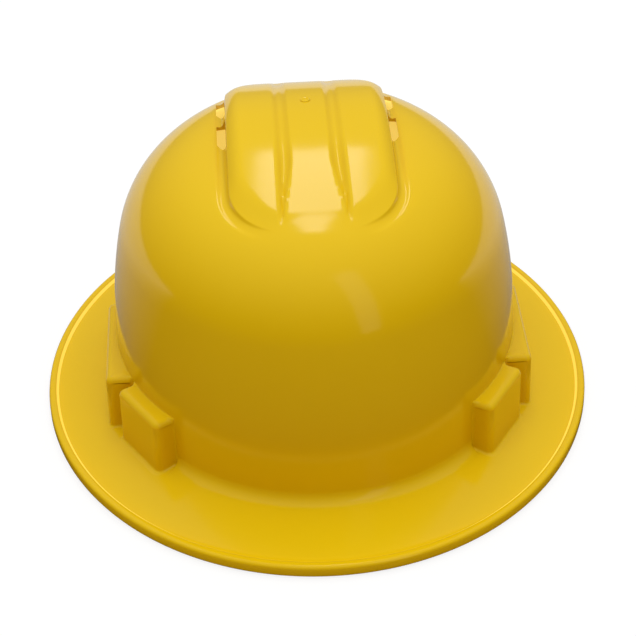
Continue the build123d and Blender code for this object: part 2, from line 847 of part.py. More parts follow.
# Knob: a fluted cap over the detents, held on the shaft by one screw
with BuildPart() as knob:
    with BuildSketch(rear_plane(knob_base_y)):
        Circle(knob_radius)
        with PolarLocations(knob_radius + knob_lobe_radius * knob_lobe_share, knob_lobes):
            Circle(knob_lobe_radius, mode=Mode.SUBTRACT)
    extrude(amount=knob_height)
    fillet(knob.faces().sort_by(Axis.Y)[-1].edges(), knob_round)
    with BuildSketch(rear_plane(knob_base_y)):
        Circle(knob_radius - knob_wall)
    extrude(amount=knob_recess_y - knob_base_y, mode=Mode.SUBTRACT)
    with BuildSketch(rear_plane(knob_base_y)):
        drive_face(drive_clearance)
    extrude(amount=shaft_end_y + drive_clearance - knob_base_y, mode=Mode.SUBTRACT)
    with BuildSketch(rear_plane(knob_base_y)):
        Circle(knob_screw_radius + drive_clearance)
    extrude(amount=knob_height, mode=Mode.SUBTRACT)
    with BuildSketch(rear_plane(knob_top_y - knob_screw_recess)):
        Circle(knob_screw_head + drive_clearance)
    extrude(amount=knob_screw_recess, mode=Mode.SUBTRACT)
save("knob", knob.part)

with BuildPart() as knob_screw:
    head_seat = knob_top_y - knob_screw_recess
    with BuildSketch(rear_plane(head_seat)):
        Circle(knob_screw_radius)
    extrude(amount=-knob_screw_length)
    with BuildSketch(rear_plane(head_seat)):
        Circle(knob_screw_head)
    extrude(amount=knob_screw_head_height)
    with BuildSketch(rear_plane(head_seat + knob_screw_head_height)):
        Rectangle(knob_screw_head, screw_drive_width)
        Rectangle(screw_drive_width, knob_screw_head)
    extrude(amount=-screw_drive_depth, mode=Mode.SUBTRACT)
save("knob_screw", knob_screw.part)

# Pads inside the headband
nape_outer = base_inner - running_gap
with BuildPart() as nape_pad:
    with BuildSketch(Plane.XY.offset(rack_z - half_housing)):
        with Locations((0, band_front_y)):
            Circle(nape_outer)
            Circle(nape_outer - nape_pad_thickness, mode=Mode.SUBTRACT)
        with Locations((0, rack_y)):
            Rectangle(2 * housing_half_width, rack_radius / 4, mode=Mode.INTERSECT)
    extrude(amount=housing_height)
    fillet(nape_pad.edges().filter_by(Axis.Y, tolerance=0.2), housing_round)
    fillet(nape_pad.faces().sort_by(Axis.Y)[0].edges(), pad_round)
save("nape_pad", nape_pad.part)


def inside_band(inset):
    """The plan of the space inside the headband, drawn in from its centre line."""
    with BuildSketch() as plan:
        with BuildLine():
            band_path(inner_layer, 0)
            mirror(about=Plane.YZ)
        make_face()
        offset(amount=-inset, mode=Mode.REPLACE)
    return plan.sketch


pad_near = band_thickness / 2 + running_gap
with BuildPart() as brow_pad:
    with BuildSketch(Plane.XY.offset(band_low - pad_overhang)):
        add(inside_band(pad_near))
        add(inside_band(pad_near + brow_pad_thickness), mode=Mode.SUBTRACT)
        with Locations((0, brow_pad_end_y + brim_half_length / 2)):
            Rectangle(2 * brim_half_width, brim_half_length, mode=Mode.SUBTRACT)
    extrude(amount=band_high - band_low + 2 * pad_overhang)
    fillet(brow_pad.edges().filter_by(Axis.Z), pad_round)
    fillet(brow_pad.faces().filter_by(Axis.Z).edges(), pad_round)
save("brow_pad", brow_pad.part)


# Hangers: flexible tongues from the keys' ears down to studs in the headband
def band_reach(plane, layer, side, half):
    """How far in from the wall the band's outer and inner faces lie, within half of u = 0."""
    edges = band_path(layer, 0)[:3]
    depths = []
    for edge in edges:
        for step in range(band_samples):
            point = edge @ (step / band_samples)
            place = plane.to_local_coords(Vector(point.X * side, point.Y, 0))
            if abs(place.X) < half:
                depths.append(place.Y)
    return max(depths) + band_thickness / 2, min(depths) - band_thickness / 2


studs = {-1: [], 1: []}
for name, plane in key_planes.items():
    side = -1 if name.endswith("left") else 1
    layer = outer_layer if side > 0 else inner_layer
    band_out, band_in = band_reach(plane, layer, side, hanger_tongue / 2)
    tongue = band_out + running_gap + hanger_thickness / 2
    clip_z = key_foot_low - running_gap - hanger_thickness / 2
    ear_line = -ear_end - running_gap - hanger_thickness / 2
    with BuildPart() as hanger:
        with BuildSketch(upright(plane)):
            with BuildLine():
                FilletPolyline(
                    (-key_inner_end, clip_z),
                    (ear_line, clip_z),
                    (ear_line, strap_loop_bend),
                    (tongue, strap_sewn_low + hanger_thickness),
                    (tongue, hanger_top),
                    radius=hanger_bend,
                )
                offset(amount=hanger_thickness / 2, side=Side.BOTH)
            make_face()
        extrude(amount=hanger_width / 2, both=True)
        with BuildSketch(plane):
            with Locations((0, -dome_half_width / 4)):
                Rectangle(2 * key_slot_half, dome_half_width / 2)
        extrude(amount=strap_loop_bend - hanger_thickness, mode=Mode.SUBTRACT)
        with BuildSketch(plane.offset(strap_sewn_low)):
            for way in (-1, 1):
                beside = way * (hanger_tongue + hanger_width) / 2
                with Locations((beside, -dome_half_width / 4)):
                    Rectangle(hanger_width, dome_half_width / 2)
        extrude(amount=hanger_top, mode=Mode.SUBTRACT)
        stud_line = Plane(
            origin=plane.origin + Vector(0, 0, stud_z), x_dir=plane.x_dir, z_dir=-plane.y_dir
        )
        with BuildSketch(stud_line):
            Circle(stud_radius + stud_gap)
        extrude(amount=dome_half_width / 2, mode=Mode.SUBTRACT)
    save(f"hanger_{name}", hanger.part)
    outer_face = -tongue + -hanger_thickness / 2 - stud_gap
    inner_face = -band_in + stud_gap
    with BuildPart() as stud:
        with BuildSketch(stud_line.offset(outer_face)):
            Circle(stud_radius)
        extrude(amount=inner_face - outer_face)
        with BuildSketch(stud_line.offset(outer_face)):
            Circle(stud_head_radius)
        extrude(amount=-stud_head_height)
        with BuildSketch(stud_line.offset(inner_face)):
            Circle(stud_head_radius)
        extrude(amount=stud_head_height)
    studs[side].append((stud.part, stud_line))

for side, word, blank in ((1, "right", band_right), (-1, "left", band_left.part)):
    with BuildPart() as group:
        for solid, line in studs[side]:
            add(solid)
    save(f"hanger_studs_{word}", group.part)
    with BuildPart() as finished:
        add(blank)
        for solid, line in studs[side]:
            with BuildSketch(line):
                Circle(stud_radius + stud_gap)
            extrude(amount=dome_half_width / 2, mode=Mode.SUBTRACT)
    save(f"headband_{word}", finished.part)
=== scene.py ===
# %% [markdown]
# # A full brim hard hat
# This lesson dresses a hard hat that was first drawn as solid parts. The solids are the frame:
# they say where every piece is and how it moves. Each piece here either keeps its solid and
# gets a finish, or stands in for it with a finer mesh. The shell is the star of the picture, so
# it gets a mesh of its own. The webbing, pads and straps inside follow after it.

import json
import math

import bpy
import numpy as np
from mathutils import Matrix, Vector


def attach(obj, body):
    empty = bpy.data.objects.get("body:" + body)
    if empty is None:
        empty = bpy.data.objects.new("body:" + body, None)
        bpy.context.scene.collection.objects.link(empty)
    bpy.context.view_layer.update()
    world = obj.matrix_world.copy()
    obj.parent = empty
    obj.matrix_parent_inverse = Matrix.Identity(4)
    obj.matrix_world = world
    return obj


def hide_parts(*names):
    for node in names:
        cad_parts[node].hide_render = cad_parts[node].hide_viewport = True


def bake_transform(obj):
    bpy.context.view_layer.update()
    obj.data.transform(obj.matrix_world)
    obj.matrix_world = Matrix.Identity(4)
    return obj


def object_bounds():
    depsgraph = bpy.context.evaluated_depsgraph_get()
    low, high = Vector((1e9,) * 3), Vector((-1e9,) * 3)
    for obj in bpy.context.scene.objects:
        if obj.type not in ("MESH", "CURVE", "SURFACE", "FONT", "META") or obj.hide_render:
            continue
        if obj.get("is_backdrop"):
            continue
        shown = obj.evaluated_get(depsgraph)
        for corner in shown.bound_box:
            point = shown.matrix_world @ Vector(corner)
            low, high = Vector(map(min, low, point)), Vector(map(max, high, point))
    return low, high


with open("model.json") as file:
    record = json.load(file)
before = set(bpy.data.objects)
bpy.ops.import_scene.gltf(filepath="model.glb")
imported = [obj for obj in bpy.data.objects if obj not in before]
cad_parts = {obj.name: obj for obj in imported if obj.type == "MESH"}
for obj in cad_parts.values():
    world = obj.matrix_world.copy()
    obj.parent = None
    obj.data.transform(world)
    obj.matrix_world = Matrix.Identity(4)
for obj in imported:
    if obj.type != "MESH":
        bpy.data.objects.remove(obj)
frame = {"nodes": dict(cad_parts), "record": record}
cad_low, cad_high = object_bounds()
nodes = frame["nodes"]
print("nodes", len(nodes), "size", [round(b - a, 4) for a, b in zip(cad_low, cad_high)])

# %% [markdown]
# Shader maths reads best as plain sums. This small class wraps one output of a node, and the
# usual signs then add Math nodes behind the scenes. Any other kind of node comes from one
# method, which sets the node's own options first and its inputs after that.

# %% Shader maths
class Wire:
    """One value in a material: an output socket that can be added, multiplied and so on."""

    def __init__(self, tree, socket):
        self.tree, self.socket = tree, socket

    def node(self, kind, inputs=(), output=0, **settings):
        """A node of any kind in the same tree, with its options and then its inputs."""
        made = self.tree.nodes.new(kind)
        stops = settings.pop("stops", None)
        for name, value in settings.items():
            setattr(made, name, value)
        if stops:
            ramp = made.color_ramp
            while len(ramp.elements) < len(stops):
                ramp.elements.new(1.0)
            for element, (place, colour) in zip(ramp.elements, stops):
                element.position, element.color = place, colour
        for name, value in dict(inputs).items():
            if isinstance(value, Wire):
                self.tree.links.new(value.socket, made.inputs[name])
            else:
                made.inputs[name].default_value = value
        return Wire(self.tree, made.outputs[output])

    def math(self, operation, *values):
        return self.node("ShaderNodeMath", dict(enumerate(values)), operation=operation)

    def __add__(self, other):
        return self.math("ADD", self, other)

    def __sub__(self, other):
        return self.math("SUBTRACT", self, other)

    def __mul__(self, other):
        return self.math("MULTIPLY", self, other)

    def __rsub__(self, other):
        return self.math("SUBTRACT", other, self)

    __radd__, __rmul__ = __add__, __mul__

    def mix(self, low, high):
        """A colour between two colours, with this value as the share of the second."""
        colour_a, colour_b = 6, 7
        inputs = {"Factor": self, colour_a: low, colour_b: high}
        return self.node("ShaderNodeMix", inputs, output=2, data_type="RGBA")


def material(name, roughness, **uniform):
    """A new material with a Principled shader, its uniform inputs set on their own sockets."""
    made = bpy.data.materials.new(name)
    made.use_nodes = True
    shader = made.node_tree.nodes["Principled BSDF"]
    shader.inputs["Roughness"].default_value = roughness
    for key, value in uniform.items():
        shader.inputs[key.replace("_", " ")].default_value = value
    start = Wire(made.node_tree, None)
    place = start.node("ShaderNodeTexCoord", output="Object")
    return made, shader, place


def feed(shader, name, wire):
    """Lead a varying value into one of the shader's inputs."""
    wire.tree.links.new(wire.socket, shader.inputs[name])


def linear(red, green, blue):
    """A colour as it is seen on a screen, from 0 to 255, as the shader wants it."""
    def one(value):
        share = value / 255
        return share / 12.92 if share <= 0.04045 else ((share + 0.055) / 1.055) ** 2.4
    return (one(red), one(green), one(blue), 1.0)


print("shader helpers ready")

# %% [markdown]
# ## The shell
# A real shell is one injection moulding: a dome, a ribbed crown panel, bosses and a wide brim
# with a rolled rim. Box modelling would need hundreds of hand-placed loops, and a sculpted
# mesh would never be smooth enough for a glossy finish. So the shell is drawn by a formula.
# The crown panel is a grid of its own. The edge of that grid becomes the first ring, and the
# rings then grow from the panel's outline to the oval rim, so that the lines of the mesh run
# along the panel's edge, the channels, the tops of the bosses and the rim.

# %% Sizes of the shell, in millimetres
MM = 0.001
WALL = 2.6
BRIM_HALF = (cad_high.x - cad_low.x) / 2 / MM
PLAN = (cad_high.y - cad_low.y) / (cad_high.x - cad_low.x)
DOME_HALF = 102.0
DOME_TOP = 141.0
ROOT = 11.0
CROWN_RADIUS, CROWN_TURN = 627.0, math.radians(4.3)
SHOULDER_RADIUS, SHOULDER_TURN = 54.8, math.radians(77.7)
BOSS_TOP = 39.0
RING_LEVEL = 60.0
ARC_POINTS = 500
crown_hub = (0.0, DOME_TOP - CROWN_RADIUS)
lean = CROWN_RADIUS - SHOULDER_RADIUS
shoulder_hub = (lean * math.sin(CROWN_TURN), crown_hub[1] + lean * math.cos(CROWN_TURN))
turned = math.sin(SHOULDER_TURN)
side_radius = (DOME_HALF - shoulder_hub[0] - SHOULDER_RADIUS * turned) / (1 - turned)
side_hub = (
    DOME_HALF - side_radius,
    shoulder_hub[1] - (side_radius - SHOULDER_RADIUS) * math.cos(SHOULDER_TURN),
)
print("shell plan ratio", round(PLAN, 4), "side radius", round(side_radius, 1))


def dome_meridian(inset):
    """Length along the dome's section, radius and height, from the top down to the foot."""
    arcs = [
        (crown_hub, CROWN_RADIUS, 0, CROWN_TURN),
        (shoulder_hub, SHOULDER_RADIUS, CROWN_TURN, SHOULDER_TURN),
        (side_hub, side_radius, SHOULDER_TURN, math.pi / 2),
    ]
    radii, heights = [], []
    for hub, radius, start, end in arcs:
        turn = np.linspace(start, end, ARC_POINTS)
        radii.append(hub[0] + (radius - inset) * np.sin(turn))
        heights.append(hub[1] + (radius - inset) * np.cos(turn))
    radii = np.concatenate(radii + [[DOME_HALF - inset]])
    heights = np.concatenate(heights + [[0.0]])
    steps = np.hypot(np.diff(radii), np.diff(heights))
    return np.concatenate([[0], np.cumsum(steps)]), radii, heights


def smooth(low, high, value):
    """A soft step from 0 at low to 1 at high."""
    share = np.clip((value - low) / (high - low), 0, 1)
    return share * share * (3 - 2 * share)


# %% [markdown]
# The crown panel is a raised pad, 80 mm wide and 153 mm long, with round corners. Three ribs
# run along it to stiffen the crown. The valleys between them are soft at the top of the hat.
# Towards the front the middle rib flares until each valley is a thin crease, and then the
# panel melts into the dome. Soft steps along and across the panel give all of that as one
# height for each place, which is easier to adjust than loops moved by hand.

# %% The crown panel
PANEL_HALF, PANEL_FRONT, PANEL_REAR, PANEL_CORNER = 40.0, -69.0, 84.0, 30.0
PANEL_TOP, PANEL_SUMMIT = 150.4, 16.0
PANEL_FRONT_RADIUS, PANEL_REAR_RADIUS = 260.0, 122.0
VALLEY_IN, VALLEY_OUT, VALLEY_DEPTH, VALLEY_CURVE = 9.0, 17.0, 2.5, 1.5
VALLEY_FRONT_RUN, VALLEY_REAR_RUN = (-60, -69), (66, 82)
REAR_DEPTH_SHARE, DEEPER_RUN = 0.6, (0, -30)
FLARE_RUN, FLARE_WIDTH, FLARE_SHALLOWER = (-20, -64), 5.4, 0.5
CROWN_START, CROWN_DROP = 20.0, 0.5
SIDE_DROP, SIDE_REACH, FRONT_REACH = 3.2, 7.0, 9.0
END_DROP, END_REACH = 2.2, 7.0
MERGE_RUN, MERGE_REACH, MERGE_SOFTNESS = (-30, -60), 12.0, 0.25


def panel_outline(x, inset):
    """Front and rear ends of the panel at one distance from the middle line."""
    corner = PANEL_CORNER - inset
    past = np.clip(np.abs(x) - (PANEL_HALF - PANEL_CORNER), 0, corner)
    bow = corner - np.sqrt(np.maximum(corner**2 - past**2, 0))
    return PANEL_FRONT + inset + bow, PANEL_REAR - inset - bow


def outline_depth(x, y, inset):
    """How far inside the panel's outline a point is, and how much it faces sideways."""
    half_x, middle = PANEL_HALF - inset, (PANEL_FRONT + PANEL_REAR) / 2
    half_y = (PANEL_REAR - PANEL_FRONT) / 2 - inset
    corner = PANEL_CORNER - inset
    across = np.abs(x) - (half_x - corner)
    along = np.abs(y - middle) - (half_y - corner)
    both = (across > 0) & (along > 0)
    depth = np.where(both, corner - np.hypot(across, along), corner - np.maximum(across, along))
    facing = np.where(both, across / np.maximum(np.hypot(across, along), 1e-6), across > along)
    return depth, facing


def panel_height(x, y, inset, dome):
    """Height of the panel's surface, eased down to the dome along its edge."""
    radius = np.where(y < PANEL_SUMMIT, PANEL_FRONT_RADIUS, PANEL_REAR_RADIUS)
    top = PANEL_TOP - inset - radius + np.sqrt(radius**2 - (y - PANEL_SUMMIT) ** 2)
    flare, ahead = smooth(*FLARE_RUN, y), smooth(*MERGE_RUN, y)
    inner = VALLEY_IN + FLARE_WIDTH * flare
    share = np.clip((np.abs(x) - inner) / (VALLEY_OUT - inner), 0, 1)
    fade = REAR_DEPTH_SHARE + (1 - REAR_DEPTH_SHARE) * smooth(*DEEPER_RUN, y)
    fade *= 1 - FLARE_SHALLOWER * flare
    fade *= (1 - smooth(*VALLEY_FRONT_RUN, y)) * (1 - smooth(*VALLEY_REAR_RUN, y))
    top -= VALLEY_DEPTH * fade * np.sin(np.pi * share) ** VALLEY_CURVE
    past = (np.abs(x) - CROWN_START) / (PANEL_HALF - CROWN_START)
    top -= CROWN_DROP * np.clip(past, 0, 1) ** 2
    depth, facing = outline_depth(x, y, inset)
    facing = facing**2
    end_drop = END_DROP * (1 - ahead)
    drop = end_drop + (SIDE_DROP - end_drop) * facing
    reach = END_REACH + (SIDE_REACH + FRONT_REACH * ahead - END_REACH) * facing
    top -= drop * np.clip(1 - depth / reach, 0, 1) ** 2
    raised = top - dome
    merge = 1 - ahead * (1 - facing) * (1 - smooth(0, MERGE_REACH, depth))
    return dome + (raised + np.sqrt(raised**2 + MERGE_SOFTNESS)) / 2 * merge


print("panel", 2 * PANEL_HALF, "by", PANEL_REAR - PANEL_FRONT, "mm")

# %% [markdown]
# ## Bosses
# Six bosses stand around the foot of the dome: four take the keys of the suspension, and one
# on each side takes an accessory. Seen from above, each is a box with rounded corners on the
# wall. Here the wall's own points slide along the boss's outline, packed closer at its
# corners. A separate box pushed through the wall would be quicker, but the glossy finish
# would show that nothing joins them.

# %% Places on the wall
KEY_AZIMUTHS = (52.0, 122.0)


def wall_point(turn, radius=DOME_HALF):
    """Plan point on the oval of that half width, from the front (-Y) towards +X."""
    return np.stack([radius * np.sin(turn), -radius * PLAN * np.cos(turn)], axis=-1)


def wall_turn(point):
    """The turn at which a plan point lies."""
    return math.atan2(point[0], -point[1] / PLAN) % (2 * math.pi)


def key_frame(azimuth):
    """Middle of a key boss on the wall, the direction along the wall and the way out."""
    dx, dy = math.sin(math.radians(azimuth)), -math.cos(math.radians(azimuth))
    reach = 1 / math.hypot(dx / DOME_HALF, dy / (DOME_HALF * PLAN))
    middle = np.array([dx * reach, dy * reach])
    out = np.array([middle[0] / DOME_HALF**2, middle[1] / (DOME_HALF * PLAN) ** 2])
    out /= np.linalg.norm(out)
    return middle, np.array([-out[1], out[0]]), out


print("key bosses at", KEY_AZIMUTHS, "degrees from the front on each side")

# %% [markdown]
# A boss's outline leaves the wall through a small inner corner, goes round two outer corners and
# comes back through another inner one. It is laid down as six places. The four corners among
# them become arcs, and the line is cut into short steps, so that a point of a ring can be looked
# up on it.

# %% Outlines of the bosses
BOSS_HALF_WIDTH, BOSS_OUT = 18.5, 9.0
BOSS_ROUND, BOSS_HEEL = 3.2, 1.3
BOSS_MARGIN = 1.3
SIDE_FACE, SIDE_FRONT, SIDE_REAR = 107.0, -46.0, 22.0
WALL_SAMPLES, CORNER_POINTS = 4000, 13
SEARCH_ALONG, SEARCH_OUT = 1.5, 2


def rounded(points, radii, step=0.1):
    """A run of plan points with its inner corners turned into arcs, as a dense line."""
    points = [np.array(p, float) for p in points]
    line = [points[0]]
    for before, corner, after, radius in zip(points, points[1:], points[2:], radii):
        a = (before - corner) / np.linalg.norm(before - corner)
        b = (after - corner) / np.linalg.norm(after - corner)
        half = math.acos(np.clip(a @ b, -1, 1)) / 2
        reach = radius / math.tan(half)
        hub = corner + (a + b) / np.linalg.norm(a + b) * radius / math.sin(half)
        start, end = corner + a * reach - hub, corner + b * reach - hub
        angle = math.atan2(start[0] * end[1] - start[1] * end[0], start @ end)
        for share in np.linspace(0, 1, CORNER_POINTS):
            c, s = math.cos(angle * share), math.sin(angle * share)
            spoke = np.array([c * start[0] - s * start[1], s * start[0] + c * start[1]])
            line.append(hub + spoke)
    line.append(points[-1])
    dense = []
    for a, b in zip(line, line[1:]):
        count = max(1, int(np.linalg.norm(b - a) / step))
        dense += [a + (b - a) * i / count for i in range(count)]
    return np.array(dense + [line[-1]])


def boss_lines():
    """The outline of each boss and its four corners, for both sides of the hat."""
    found = []
    for azimuth in KEY_AZIMUTHS:
        middle, along, out = key_frame(azimuth)
        wall = wall_point(np.linspace(0, math.pi, WALL_SAMPLES))
        local = np.stack([(wall - middle) @ along, (wall - middle) @ out], axis=-1)
        near = np.abs(local[:, 0]) < BOSS_HALF_WIDTH * SEARCH_ALONG
        near &= np.abs(local[:, 1]) < BOSS_OUT * SEARCH_OUT
        local = local[near][np.argsort(local[near][:, 0])]

        def on_wall(u):
            return middle + along * u + out * np.interp(u, local[:, 0], local[:, 1])

        half, edge = BOSS_HALF_WIDTH, BOSS_HALF_WIDTH + BOSS_MARGIN
        corners = [middle + along * u + out * BOSS_OUT for u in (-half, half)]
        found.append([on_wall(-edge), on_wall(-half), *corners, on_wall(half), on_wall(edge)])
    stops = []
    for y in (SIDE_FRONT - BOSS_MARGIN, SIDE_FRONT, SIDE_REAR, SIDE_REAR + BOSS_MARGIN):
        stops.append((DOME_HALF * math.sqrt(1 - (y / DOME_HALF / PLAN) ** 2), y))
    found.append(stops[:2] + [(SIDE_FACE, SIDE_FRONT), (SIDE_FACE, SIDE_REAR)] + stops[2:])
    lines = []
    for stops in found:
        line = rounded(stops, (BOSS_HEEL, BOSS_ROUND, BOSS_ROUND, BOSS_HEEL))
        stops = np.array(stops)
        lines.append((line, stops[1:5]))
        lines.append((line[::-1] * (-1, 1), stops[4:0:-1] * (-1, 1)))
    return lines


bosses = boss_lines()
print("boss outlines", len(bosses))

# %% [markdown]
# The panel has a grid of quads, and the rings need a start on it and an end at the rim. Seen
# from above, the grid's sides face four quarters of the oval, and each of its edge points is
# led to its own place there. The grid's rows are a little closer at its two ends, where the
# surface turns most.

# %% The grid's points in plan
FINE_COLUMNS, CORNER_COLUMNS, ROWS, END_CROWDING = 20, 44, 170, 0.045
FRONT_QUARTER, REAR_QUARTER = math.radians(44), math.radians(140)


def panel_grid(inset):
    """Plan points of the panel's grid, columns by rows."""
    flat = PANEL_HALF - PANEL_CORNER
    fine = np.linspace(0, flat, FINE_COLUMNS + 1)
    swing = np.linspace(0, math.pi / 2, CORNER_COLUMNS + 1)[1:]
    half = np.concatenate([fine, flat + (PANEL_CORNER - inset) * np.sin(swing)])
    across = np.concatenate([-half[:0:-1], half])
    front, rear = panel_outline(across, inset)
    share = np.linspace(0, 1, ROWS + 1)
    share = share - END_CROWDING * np.sin(2 * np.pi * share)
    y = front[:, None] + (rear - front)[:, None] * share[None, :]
    return np.stack([np.repeat(across[:, None], ROWS + 1, axis=1), y], axis=-1)


def border(grid):
    """The grid's edge as one loop: front, right, rear and left."""
    return np.concatenate([grid[:-1, 0], grid[-1, :-1], grid[:0:-1, -1], grid[0, :0:-1]])


columns = 2 * (FINE_COLUMNS + CORNER_COLUMNS)
corners = [-FRONT_QUARTER, FRONT_QUARTER, REAR_QUARTER, 2 * math.pi - REAR_QUARTER]
counts = (columns, ROWS, columns, ROWS)
ends = corners[1:] + [2 * math.pi - FRONT_QUARTER]
quarters = [np.linspace(a, b, n, endpoint=False) for a, b, n in zip(corners, ends, counts)]
turns = np.concatenate(quarters)
print("points in a ring", len(turns))

# %% [markdown]
# A ring near the foot goes round the wall, but where a boss stands it follows the boss's
# outline. So each point of a ring gets a place on the wall, a place on an outline, and a
# weight that says which of the two counts. Points crowd at a boss's corners, because a round
# corner needs them and a flat face doesn't.

# %% Rings that go round the bosses
CORNER_CROWDING, CORNER_NEAR, BOSS_BLEND = 3, 2.6, 0.8


def boss_ring():
    """For each point of a ring: its place on a boss's outline, the way out, and 1 on a boss."""
    wall = wall_point(turns)
    place, out = wall.copy(), np.stack([np.sin(turns) * PLAN, -np.cos(turns)], axis=-1)
    out /= np.linalg.norm(out, axis=-1)[:, None]
    weight = np.zeros(len(turns))
    round_turn = turns % (2 * math.pi)
    for line, hard in bosses:
        start, end = wall_turn(line[0]), wall_turn(line[-1])
        inside = np.nonzero((round_turn > start) & (round_turn < end))[0]
        steps = np.linalg.norm(np.diff(line, axis=0), axis=1)
        middle = (line[1:] + line[:-1]) / 2
        away = np.min([np.linalg.norm(middle - corner, axis=1) for corner in hard], axis=0)
        crowding = 1 + CORNER_CROWDING * np.exp(-((away / CORNER_NEAR) ** 2))
        pull = np.concatenate([[0], np.cumsum(steps * crowding)])
        want = (round_turn[inside] - start) / (end - start) * pull[-1]
        place[inside] = [[np.interp(w, pull, line[:, i]) for i in (0, 1)] for w in want]
        slope = np.gradient(line, axis=0)
        slope = np.stack([np.interp(want, pull, slope[:, i]) for i in (0, 1)], axis=-1)
        slope /= np.linalg.norm(slope, axis=-1)[:, None]
        out[inside] = np.stack([slope[:, 1], -slope[:, 0]], axis=-1)
        gap = np.linalg.norm(place[inside] - wall[inside], axis=1)
        weight[inside] = smooth(0.0, BOSS_BLEND, gap)
    return wall, place, out, weight


wall, place, out, weight = boss_ring()
print("ring points on a boss", int(np.sum(weight > 0)))

# %% [markdown]
# The first rings run parallel to the panel's outline. They make the panel's side and the
# channel beside it, which on the real hat leads rain away from the vents. The next rings
# spread down the dome and turn little by little from the panel's shape to the oval. Both
# skins of the shell use this, with the inner one a wall's thickness further in.

# %% Rings of the panel and the dome
EDGE_STEPS = (0.3, 0.7, 1.1, 1.6, 2.2, 2.8, 3.4, 4.0, 4.5, 5.0, 5.6, 6.3, 7.2)
EDGE_FALL_SHARES = (0.82, 0.56, 0.34, 0.17, 0.06, 0.015, 0, 0, 0, 0, 0, 0, 0)
CHANNEL_DEPTH, CHANNEL_NEAR, CHANNEL_FAR = 0.9, 3.4, 6.6
CHANNEL_FACING, CHANNEL_LIP = (0.3, 0.95), 0.8
DOME_RINGS = 84


def oval_radius(plan):
    """The half width of the oval that a plan point lies on."""
    return np.hypot(plan[..., 0], plan[..., 1] / PLAN)


def crown_rings(inset, channel):
    """The panel's grid and the rings down to the level where the wall is nearly upright."""
    length, radii, heights = dome_meridian(inset)
    arcs = slice(3 * ARC_POINTS)

    def on_dome(plan):
        return np.interp(oval_radius(plan), radii[arcs], heights[arcs])

    grid = panel_grid(inset)
    dome = on_dome(grid)
    top = panel_height(grid[..., 0], grid[..., 1], inset, dome)
    grid = np.concatenate([grid, top[..., None]], axis=-1)
    edge = border(grid)
    ahead = np.roll(edge[:, :2], -1, axis=0) - np.roll(edge[:, :2], 1, axis=0)
    ahead /= np.linalg.norm(ahead, axis=1)[:, None]
    out = np.stack([ahead[:, 1], -ahead[:, 0]], axis=-1)
    rise = edge[:, 2] - on_dome(edge[:, :2])
    ditch = channel * smooth(*CHANNEL_FACING, np.abs(out[:, 0]))
    rings = []
    for step, share in zip(EDGE_STEPS, EDGE_FALL_SHARES):
        plan = edge[:, :2] + out * step
        z = on_dome(plan) + rise * share
        z -= ditch * (1 - smooth(CHANNEL_NEAR, CHANNEL_FAR, step)) * smooth(0, CHANNEL_LIP, step)
        rings.append(np.column_stack([plan, z]))
    last = rings[-1][:, :2]
    start = np.interp(oval_radius(last), radii, length)
    end = np.interp(-RING_LEVEL, -heights, length)
    first_turn = np.unwrap(np.arctan2(last[:, 0], -last[:, 1] / PLAN))
    first_turn += 2 * math.pi * np.round((turns[0] - first_turn[0]) / (2 * math.pi))
    for share in np.arange(1, DOME_RINGS + 1) / DOME_RINGS:
        along = start + (end - start) * share
        turn = first_turn + (turns - first_turn) * smooth(0, 1, share)
        plan = wall_point(turn, np.interp(along, length, radii))
        rings.append(np.column_stack([plan, np.interp(along, length, heights)]))
    return grid, rings


print("rings of the panel and the dome", len(EDGE_STEPS) + DOME_RINGS)

# %% [markdown]
# The brim falls gently from the foot of the wall. Its edge is rolled to stiffen it, and the roll
# ends below in a narrow flat land, which the hat stands on. The roll could come from a bevel
# modifier, but on a mesh this fine a written profile is surer.

# %% The brim and its rim
RIM_WIDTH, RIM_GAP, EDGE_TOP = 5.2, 0.8, 4.7
RIM_PROFILE = (
    (-5.0, 4.85), (-4.5, 5.3), (-4.05, 5.9), (-3.5, 6.27), (-2.9, 6.4), (-1.6, 6.4),
    (-0.95, 6.25), (-0.45, 5.85), (-0.12, 5.3), (0, 4.7), (0, 3.4), (0, 1.9),
    (-0.15, 1.1), (-0.55, 0.4), (-1.1, 0.08), (-1.6, 0.0),
)
rim_inner = BRIM_HALF - RIM_WIDTH
brim_slope = (ROOT - EDGE_TOP) / (rim_inner - DOME_HALF)


def brim_top(plan):
    """Height of the brim's upper face."""
    return ROOT - brim_slope * (oval_radius(plan) - DOME_HALF)


def level_ring(radius, z):
    """An oval ring of one half width at one height."""
    return np.column_stack([wall_point(turns, radius), np.full(len(turns), z)])


print("the brim falls by", round(brim_slope, 4), "for each mm outwards")

# %% [markdown]
# Below the dome, the outer skin passes the bosses. Its rings climb over each boss's top, round
# its edge, run down its face and turn through a fillet at the foot. Then they cross the brim
# and go round the rim. A ring has one height on the wall and another on the bosses, and the
# weight worked out above chooses between them.

# %% Rings of the outer skin
WALL_STEP, FOOT_LEVEL, FOOT_STEP = 1.5, 18.0, 1
ROUND_TOP, CREST_STEP, TOP_TURNS = 3.0, 0.3, (0, 22.5, 45, 67.5, 90)
BOSS_CREST = ((1.0, 0), (0.35, 0.015), (0.08, 0.05), (0, 0.12), (0, 0.3), (0, 0.55), (0, 0.8))
BOSS_PROUD = (0.2, 2.2)
ROOT_FILLET, ROOT_STEPS = 6.5, 12
BRIM_RINGS = 30


